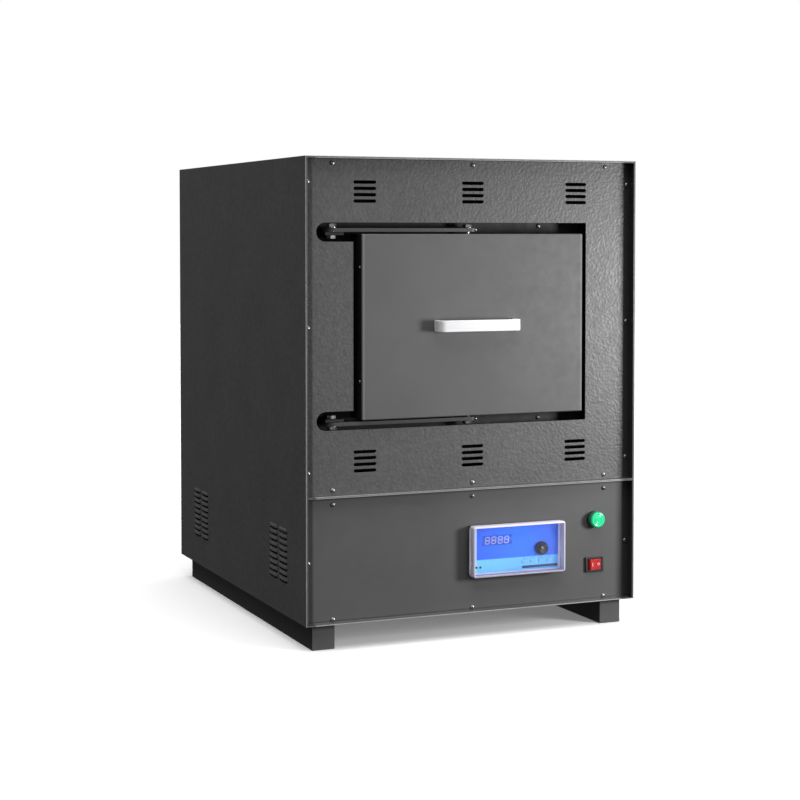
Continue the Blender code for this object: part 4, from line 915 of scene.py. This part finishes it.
def controller_bezel():
    """The pale frame round the label."""
    back, front, overlap = LABEL_LOW.y - 0.0003, LABEL_LOW.y - 0.0012, 0.0003
    outer = rounded_rectangle(
        (COVER_LOW.x + 0.0048, COVER_LOW.z + 0.0026), (COVER_HIGH.x - 0.0026, COVER_HIGH.z - 0.0026), 0.0015, 4
    )
    low, high = (LABEL_LOW.x + overlap, LABEL_LOW.z + overlap), (LABEL_HIGH.x - overlap, LABEL_HIGH.z - overlap)
    inner = rounded_rectangle(low, high, 0.001, 4)
    bm = bmesh.new()
    sides = ((outer, back), (outer, front), (inner, front), (inner, back))
    loops = [[bm.verts.new((a, y, b)) for a, b in outline] for outline, y in sides]
    bridge_all(bm, loops, closed=True)
    new_piece("controller_bezel", bm, "pale_bezel", "cabinet", bevel=(0.0002, 2, 40))


def knob_scale(face, ink):
    """Eleven ticks round the knob, the first, the middle and the last one longer."""
    first, last, ticks, near, half = 225.0, -45.0, 11, 0.0124, 0.0003
    centre = Vector((KNOB.x, KNOB.z))
    bm = bmesh.new()
    for i in range(ticks):
        a = math.radians(first + (last - first) * i / (ticks - 1))
        along, across = Vector((math.cos(a), math.sin(a))), Vector((-math.sin(a), math.cos(a)))
        far = 0.0140 if i % 5 else 0.0146
        corners = ((near, -half), (far, -half), (far, half), (near, half))
        outline = [tuple(centre + along * r + across * w) for r, w in corners]
        prism(outline, face - ink, face - ink * 0.1, UPRIGHT, bm)
    new_piece("knob_scale", bm, "print_dark", "cabinet")


def key_marks(face, ink):
    """A short bar over each key."""
    half, thin, rise = 0.0016, 0.0003, 0.0026
    bm = bmesh.new()
    for word in KEYS:
        low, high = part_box(word)
        x, z = (low.x + high.x) / 2, high.z + rise
        outline = [(x - half, z - thin), (x + half, z - thin), (x + half, z + thin), (x - half, z + thin)]
        prism(outline, face - ink, face - ink * 0.1, UPRIGHT, bm)
    new_piece("key_marks", bm, "print_dark", "cabinet")


def controller_face():
    """The frame round the label, the printed strip, the indicators, the marks and the digits."""
    face, ink = LABEL_LOW.y, 0.00012
    controller_bezel()
    strip = rounded_rectangle((0.0830, 0.1010), (LABEL_HIGH.x - 0.0012, 0.1050), 0.0006, 3)
    thin_plate("printed_strip", strip, face - ink, ink * 0.9)
    for index, x in enumerate((0.0042, 0.0110), 1):
        dot = arc((x, 0.1075), 0.0019, 0, 345, 23)
        thin_plate(f"indicator_{index}", dot, face - 0.0004, 0.00036)
    knob_scale(face, ink)
    key_marks(face, ink)
    display_digits()


def display_digits():
    """Four seven-segment digits with every bar lit, standing just proud of the display window."""
    places, margin, half, lean = 4, 0.003, 0.00045, 0.10
    low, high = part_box("display_module")
    pitch = (high.x - low.x - 2 * margin) / places
    tall, wide, middle_z = (high.z - low.z) * 0.36, pitch * 0.30, (low.z + high.z) / 2
    # Each bar's column and row. A bar in an odd row stands upright.
    bars = ((0, 2), (1, 1), (1, -1), (0, -2), (-1, -1), (-1, 1), (0, 0))
    bm = bmesh.new()
    for place in range(places):
        middle_x = low.x + margin + pitch * (place + 0.5)
        for column, row in bars:
            upright = row % 2
            end = (tall / 2 if upright else wide) - 0.0004
            outline = [(-end, 0), (half - end, -half), (end - half, -half)]
            outline += [(-a, -b) for a, b in outline]
            if upright:
                outline = [(b, a) for a, b in outline]
            x, z = column * wide, row * tall / 2
            points = [(middle_x + x + a + (z + b) * lean, middle_z + z + b) for a, b in outline]
            prism(points, low.y - 0.00015, low.y - 0.00002, UPRIGHT, bm)
    new_piece("display_digits", bm, "digit", "cabinet")


def controller_knob():
    """Fluted knob with a skirt, a dished cap and a raised pointer."""
    low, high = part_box("controller_knob")
    radius = (high.x - low.x) / 2
    skirt_y = KNOB.y - 0.0012
    deep = skirt_y - low.y
    place = facing((KNOB.x, skirt_y, KNOB.z), -Y)
    profile = [(0.0, -0.0006), (0.0028, -0.0006), (0.0028, 0.0002), (radius, 0.0002), (radius, 0.0014)]
    profile += [(radius - 0.0007, 0.0020), (0.0088, 0.0026), (0.0085, 0.0032), (0.0080, deep - 0.0012)]
    profile += [(0.0076, deep - 0.0004), (0.0068, deep), (0.0058, deep - 0.0002), (0.0050, deep - 0.0006)]
    flutes = 15

    def fluted(index, angle):
        return 1.0 - 0.055 * max(math.cos(flutes * angle), 0.0) ** 2 if 7 <= index <= 9 else 1.0

    dial = turned([*profile, (0.0, deep - 0.0008)], place, 120, fluted)
    body = "controller_knob"
    new_piece("controller_dial", dial, "dial_plastic", body, "controller_knob", 40)
    outline = rounded_rectangle((-0.0004, 0.0012), (0.0004, 0.0062), 0.0003, 3)
    turn = Matrix.Rotation(math.radians(45), 4, "Z")
    pointer = prism(outline, deep - 0.0009, deep - 0.0002, place @ turn)
    new_piece("dial_pointer", pointer, "print_light", body)


def controller_keys():
    """Rubber keys with crowned tops."""
    crown = ((0.0, 0.0006), (0.0002, 0.00025), (0.0006, 0.0001), (0.0014, 0.0))
    for word in KEYS:
        low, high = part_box(word)
        bm = bmesh.new()
        steps = ((0.0, high.y), *((inset, low.y + depth) for inset, depth in crown))
        rings = [shell_ring(bm, inset, y, 0.0012, low, high) for inset, y in steps]
        bm.faces.new(rings[0][::-1])
        bridge_all(bm, rings)
        bm.faces.new(rings[-1])
        new_piece(f"{word}_cap", bm, "key_rubber", word, replaces=word, angle=45)


# ---------------------------------------------------------------- lamp and switch
def lamp_lens():
    """Fresnel-ringed lens on the indicator lamp."""
    centre = (LAMP_LOW + LAMP_HIGH) / 2
    radius = (LAMP_HIGH.x - LAMP_LOW.x) / 2
    depth = LAMP_HIGH.y - LAMP_LOW.y
    place = facing((centre.x, LAMP_HIGH.y, centre.z), -Y)
    profile = [(0.0, 0.0), (radius - 0.0004, 0.0), (radius, 0.0004), (radius, depth - 0.0034)]
    profile += [(radius - 0.0006, depth - 0.0028), (radius - 0.0006, depth - 0.0016)]
    profile += [(radius - 0.0012, depth - 0.0008)]
    rings, face = 4, radius - 0.0022
    for i in range(rings):
        outer = face * (rings - i) / rings
        inner = face * (rings - i - 1) / rings
        profile.append((outer, depth - 0.0004 + 0.0004 * (1 - outer / face)))
        profile.append((inner + (outer - inner) * 0.45, depth))
        if inner > 0:
            profile.append((inner + (outer - inner) * 0.08, depth - 0.0006))
    lens = turned([*profile, (0.0, depth)], place, 64)
    new_piece("indicator_lens", lens, "green_lens", "cabinet", replaces="lamp_lens", angle=60)


def switch_rocker():
    """Dished rocker with rounded edges, a raised bar on one end and a ring on the other."""
    low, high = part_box("switch_rocker")
    reach, half_z = 0.0104, (high.z - low.z) / 2
    raised, dip, deep, power = 0.0072, 0.0050, 0.0060, 1.25
    ease, steps = 0.0008, 6
    front = [(-reach + ease, -raised)]
    for i in range(1, steps):
        t = -1 + 2 * i / steps
        front.append((t * (reach - ease), -dip - (raised - dip) * abs(t) ** power))
    front.append((reach - ease, -raised))
    outline = [(-reach, -raised + 0.0010), *front, (reach, -raised + 0.0010), (reach, 0.0)]
    outline += [(0.003, deep), (-0.003, deep), (-reach, 0.0)]
    place = Matrix.Translation(ROCKER) @ Matrix.Rotation(math.radians(9.0), 4, "Z")
    rocker = prism(outline, -half_z, half_z, place)
    new_piece("power_rocker", rocker, "red_rocker", "switch_rocker", "switch_rocker", 40, (0.0004, 3, 35))
    face_y = -dip - (raised - dip) * 0.55**power
    mark = rounded_rectangle((-0.0064, -0.0032), (-0.0055, 0.0032), 0.0004, 3)
    bar = prism(mark, face_y - 0.00025, face_y + 0.0006, place @ UPRIGHT)
    new_piece("rocker_bar_mark", bar, "print_white", "switch_rocker")
    slope = Matrix.Rotation(math.radians(-14.3), 4, "Z")
    stand = place @ Matrix.Translation((0.0060, -0.00623, 0)) @ slope @ facing((0, 0, 0), -Y)
    ring = washer(0.0014, 0.0021, -0.0006, 0.00025, stand)
    new_piece("rocker_ring_mark", ring, "print_white", "switch_rocker")


# ---------------------------------------------------------------- inside pieces
def rounded_route(points, radius, step):
    """Points every step along a route of straight runs in a plane, with its corners rounded."""
    dense = [points[0]]
    for before, corner, after in zip(points, points[1:], points[2:]):
        into, out = (corner - before).normalized(), (after - corner).normalized()
        start, end = corner - into * radius, corner + out * radius
        dense += [start.lerp(corner, t / 6).lerp(corner.lerp(end, t / 6), t / 6) for t in range(7)]
    dense.append(points[-1])
    places, distance, target = [], 0.0, 0.0
    for one, two in zip(dense, dense[1:]):
        gap = (two - one).length
        while target <= distance + gap and gap > 0:
            places.append(one.lerp(two, (target - distance) / gap))
            target += step
        distance += gap
    return places


def heating_coils():
    """Resistance wire wound into a helix along the side boards, and nearly straight where it leaves them."""
    wire, pitch, per_turn, lead_radius = 0.0008, 0.0046, 9, 0.0008
    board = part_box("insulation_rear")[0]
    for word in ("left", "right"):
        low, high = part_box(f"heating_element_{word}")
        coil = (high.x - low.x) / 2
        x = (low.x + high.x) / 2
        levels = [low.z + coil + (high.z - low.z - 2 * coil) * i / 3 for i in range(4)]
        front, back, lead = low.y + coil, board.y - 0.018, high.y
        corners = zip((lead, front, front, back, back, front, front, lead), sorted(levels * 2))
        route = rounded_route([Vector((x, y, z)) for y, z in corners], 0.010, pitch / per_turn)
        curve = bpy.data.curves.new(f"heating_coil_{word}", "CURVE")
        curve.dimensions = "3D"
        curve.bevel_depth = wire
        curve.bevel_resolution = 1
        curve.use_fill_caps = True
        spline = curve.splines.new("POLY")
        spline.points.add(len(route) - 1)
        for i, place in enumerate(route):
            ahead = route[min(i + 1, len(route) - 1)] - route[max(i - 1, 0)]
            across = ahead.cross(X).normalized()
            wound = min(max((board.y + 0.012 - place.y) / 0.006, 0.0), 1.0)
            radius = (coil - wire) * wound + lead_radius * (1 - wound)
            a = 2 * math.pi * i / per_turn
            spot = place + X * (radius * math.cos(a)) + across * (radius * math.sin(a))
            spline.points[i].co = (*spot, 1)
        piece = bpy.data.objects.new(f"heating_coil_{word}", curve)
        bpy.context.scene.collection.objects.link(piece)
        curve.materials.append(MATERIALS["resistance_wire"])
        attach(piece, "cabinet")
        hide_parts(f"heating_element_{word}")


def terminal_screws():
    """Cheese-head clamp screws in the terminal block's wells and on the relay."""
    radius, height, half_slot, reach = 0.0034, 0.0024, 0.0004, 0.005
    profile = [(0.0, -0.0006), (radius, -0.0006), (radius, 0.0020), (0.0031, height), (0.0, height)]
    slot = [(-reach, -half_slot), (reach, -half_slot), (reach, half_slot), (-reach, half_slot)]
    head = boolean_mesh("cheese_head", turned(profile, steps=24), prism(slot, 0.0013, 0.01))
    head.materials.append(MATERIALS["zinc_plate"])
    low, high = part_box("mains_terminal_block")
    ways, pitch, floor = 6, 0.0145, low.z + 0.012
    wells = [(low.x + 0.01375 + i * pitch, y) for i in range(ways) for y in (low.y + 0.008, low.y + 0.024)]
    place_screws("terminal_screw", head, [Vector((*well, floor)) for well in wells], Z, "cabinet", 31.0)
    low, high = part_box("solid_state_relay")
    inset = 0.008
    corners = [(x, y) for x in (low.x + inset, high.x - inset) for y in (low.y + inset, high.y - inset)]
    place_screws("relay_screw", head, [Vector((*corner, high.z)) for corner in corners], Z, "cabinet", 47.0)


# ---------------------------------------------------------------- room
ROOM_BRIGHT_SIDE = Vector((0.75, -0.45, 0.45))
ROOM_DARK, ROOM_BRIGHT = 0.16, 0.50
ROOM_BELOW = 0.15  # how much of its light the room keeps below the horizon


def white_floor():
    """Pale floor that catches shadows and isn't seen in the object's own light or gloss."""
    bm = bmesh.new()
    bmesh.ops.create_grid(bm, x_segments=1, y_segments=1, size=9.0)
    mesh = bpy.data.meshes.new("studio_floor")
    bm.to_mesh(mesh)
    bm.free()
    floor = bpy.data.objects.new("studio_floor", mesh)
    bpy.context.scene.collection.objects.link(floor)
    paint = Paint("floor_white", (0.93, 0.93, 0.93), roughness=0.6, specular_ior_level=0.2)
    paint.set("Emission Color", (1, 1, 1, 1))
    paint.set("Emission Strength", 0.17)
    mesh.materials.append(paint.material)
    floor.visible_diffuse = False
    floor.visible_glossy = False


def white_room():
    """A room that the camera sees white, and whose light is dimmer away from its bright side and below."""
    world = bpy.data.worlds.new("white_room")
    bpy.context.scene.world = world
    world.use_nodes = True
    room = Nodes(world.node_tree)
    room.tree.nodes.clear()
    coords = room.node("ShaderNodeTexCoord")
    toward = room.node("ShaderNodeVectorMath", operation="DOT_PRODUCT")
    toward.inputs[1].default_value = ROOM_BRIGHT_SIDE.normalized()
    room.link(coords.outputs["Generated"], toward.inputs[0])
    dim = room.node("ShaderNodeMath", operation="MULTIPLY")
    room.link(room.remap(toward.outputs["Value"], -0.75, 0.75, ROOM_DARK, ROOM_BRIGHT), dim.inputs[0])
    room.link(room.remap(room.axis("Generated", "Z"), -0.25, 0.15, ROOM_BELOW), dim.inputs[1])
    path = room.node("ShaderNodeLightPath")
    choose = room.node("ShaderNodeMixShader")
    room.link(path.outputs["Is Camera Ray"], choose.inputs["Fac"])
    for index in (1, 2):
        backdrop = room.node("ShaderNodeBackground")
        backdrop.inputs["Color"].default_value = (1, 1, 1, 1)
        if index == 1:
            room.link(dim.outputs["Value"], backdrop.inputs["Strength"])
        room.link(backdrop.outputs["Background"], choose.inputs[index])
    out = room.node("ShaderNodeOutputWorld")
    room.link(choose.outputs["Shader"], out.inputs["Surface"])


def lights():
    """A soft box low on the right, and a broad light overhead."""
    bpy.context.scene.view_settings.view_transform = "Standard"
    key = bpy.data.lights.new("key", "AREA")
    key.shape = "RECTANGLE"
    key.size, key.size_y = 0.36, 0.36
    key.energy = 19.5
    sky = bpy.data.lights.new("overhead", "SUN")
    sky.energy = 3.0
    sky.angle = math.radians(70)
    place, aim = Vector((1.14, -1.34, 0.46)), Vector((0.0, 0.0, 0.35))
    turn = (aim - place).to_track_quat("-Z", "Y").to_euler()
    for light, spot, way in ((key, place, turn), (sky, Vector(), (math.radians(12), math.radians(-4), 0))):
        lamp = bpy.data.objects.new(light.name, light)
        lamp.location = spot
        lamp.rotation_euler = way
        bpy.context.scene.collection.objects.link(lamp)


def camera():
    """At the photograph's viewing angle: 22.9 degrees to the right of straight back, and 2.3 degrees down."""
    turn, down = math.radians(22.88), math.radians(2.3)
    data = bpy.data.cameras.new("camera")
    data.lens = 81.1
    data.sensor_width = 36.0
    data.shift_y = -0.12
    data.clip_end = 60.0
    eye = bpy.data.objects.new("camera", data)
    eye.location = (-1.183, -2.835, 0.628)
    eye.rotation_euler = (math.radians(90) - down, 0, -turn)
    bpy.context.scene.collection.objects.link(eye)
    bpy.context.scene.camera = eye


# ---------------------------------------------------------------- assembly
pan_head = pan_head_mesh(0.0035, 0.0021)
small_head = pan_head_mesh(0.0030, 0.0018)
cabinet_screws(pan_head)
side_louvres()
cable_gland()
hinge_fasteners()
door_side_screws(small_head)
door_handle()
controller_cover()
controller_face()
controller_knob()
controller_keys()
lamp_lens()
switch_rocker()
heating_coils()
terminal_screws()
for node in NODES:
    dress(node)
white_floor()
white_room()
lights()
camera()

bpy.context.view_layer.update()
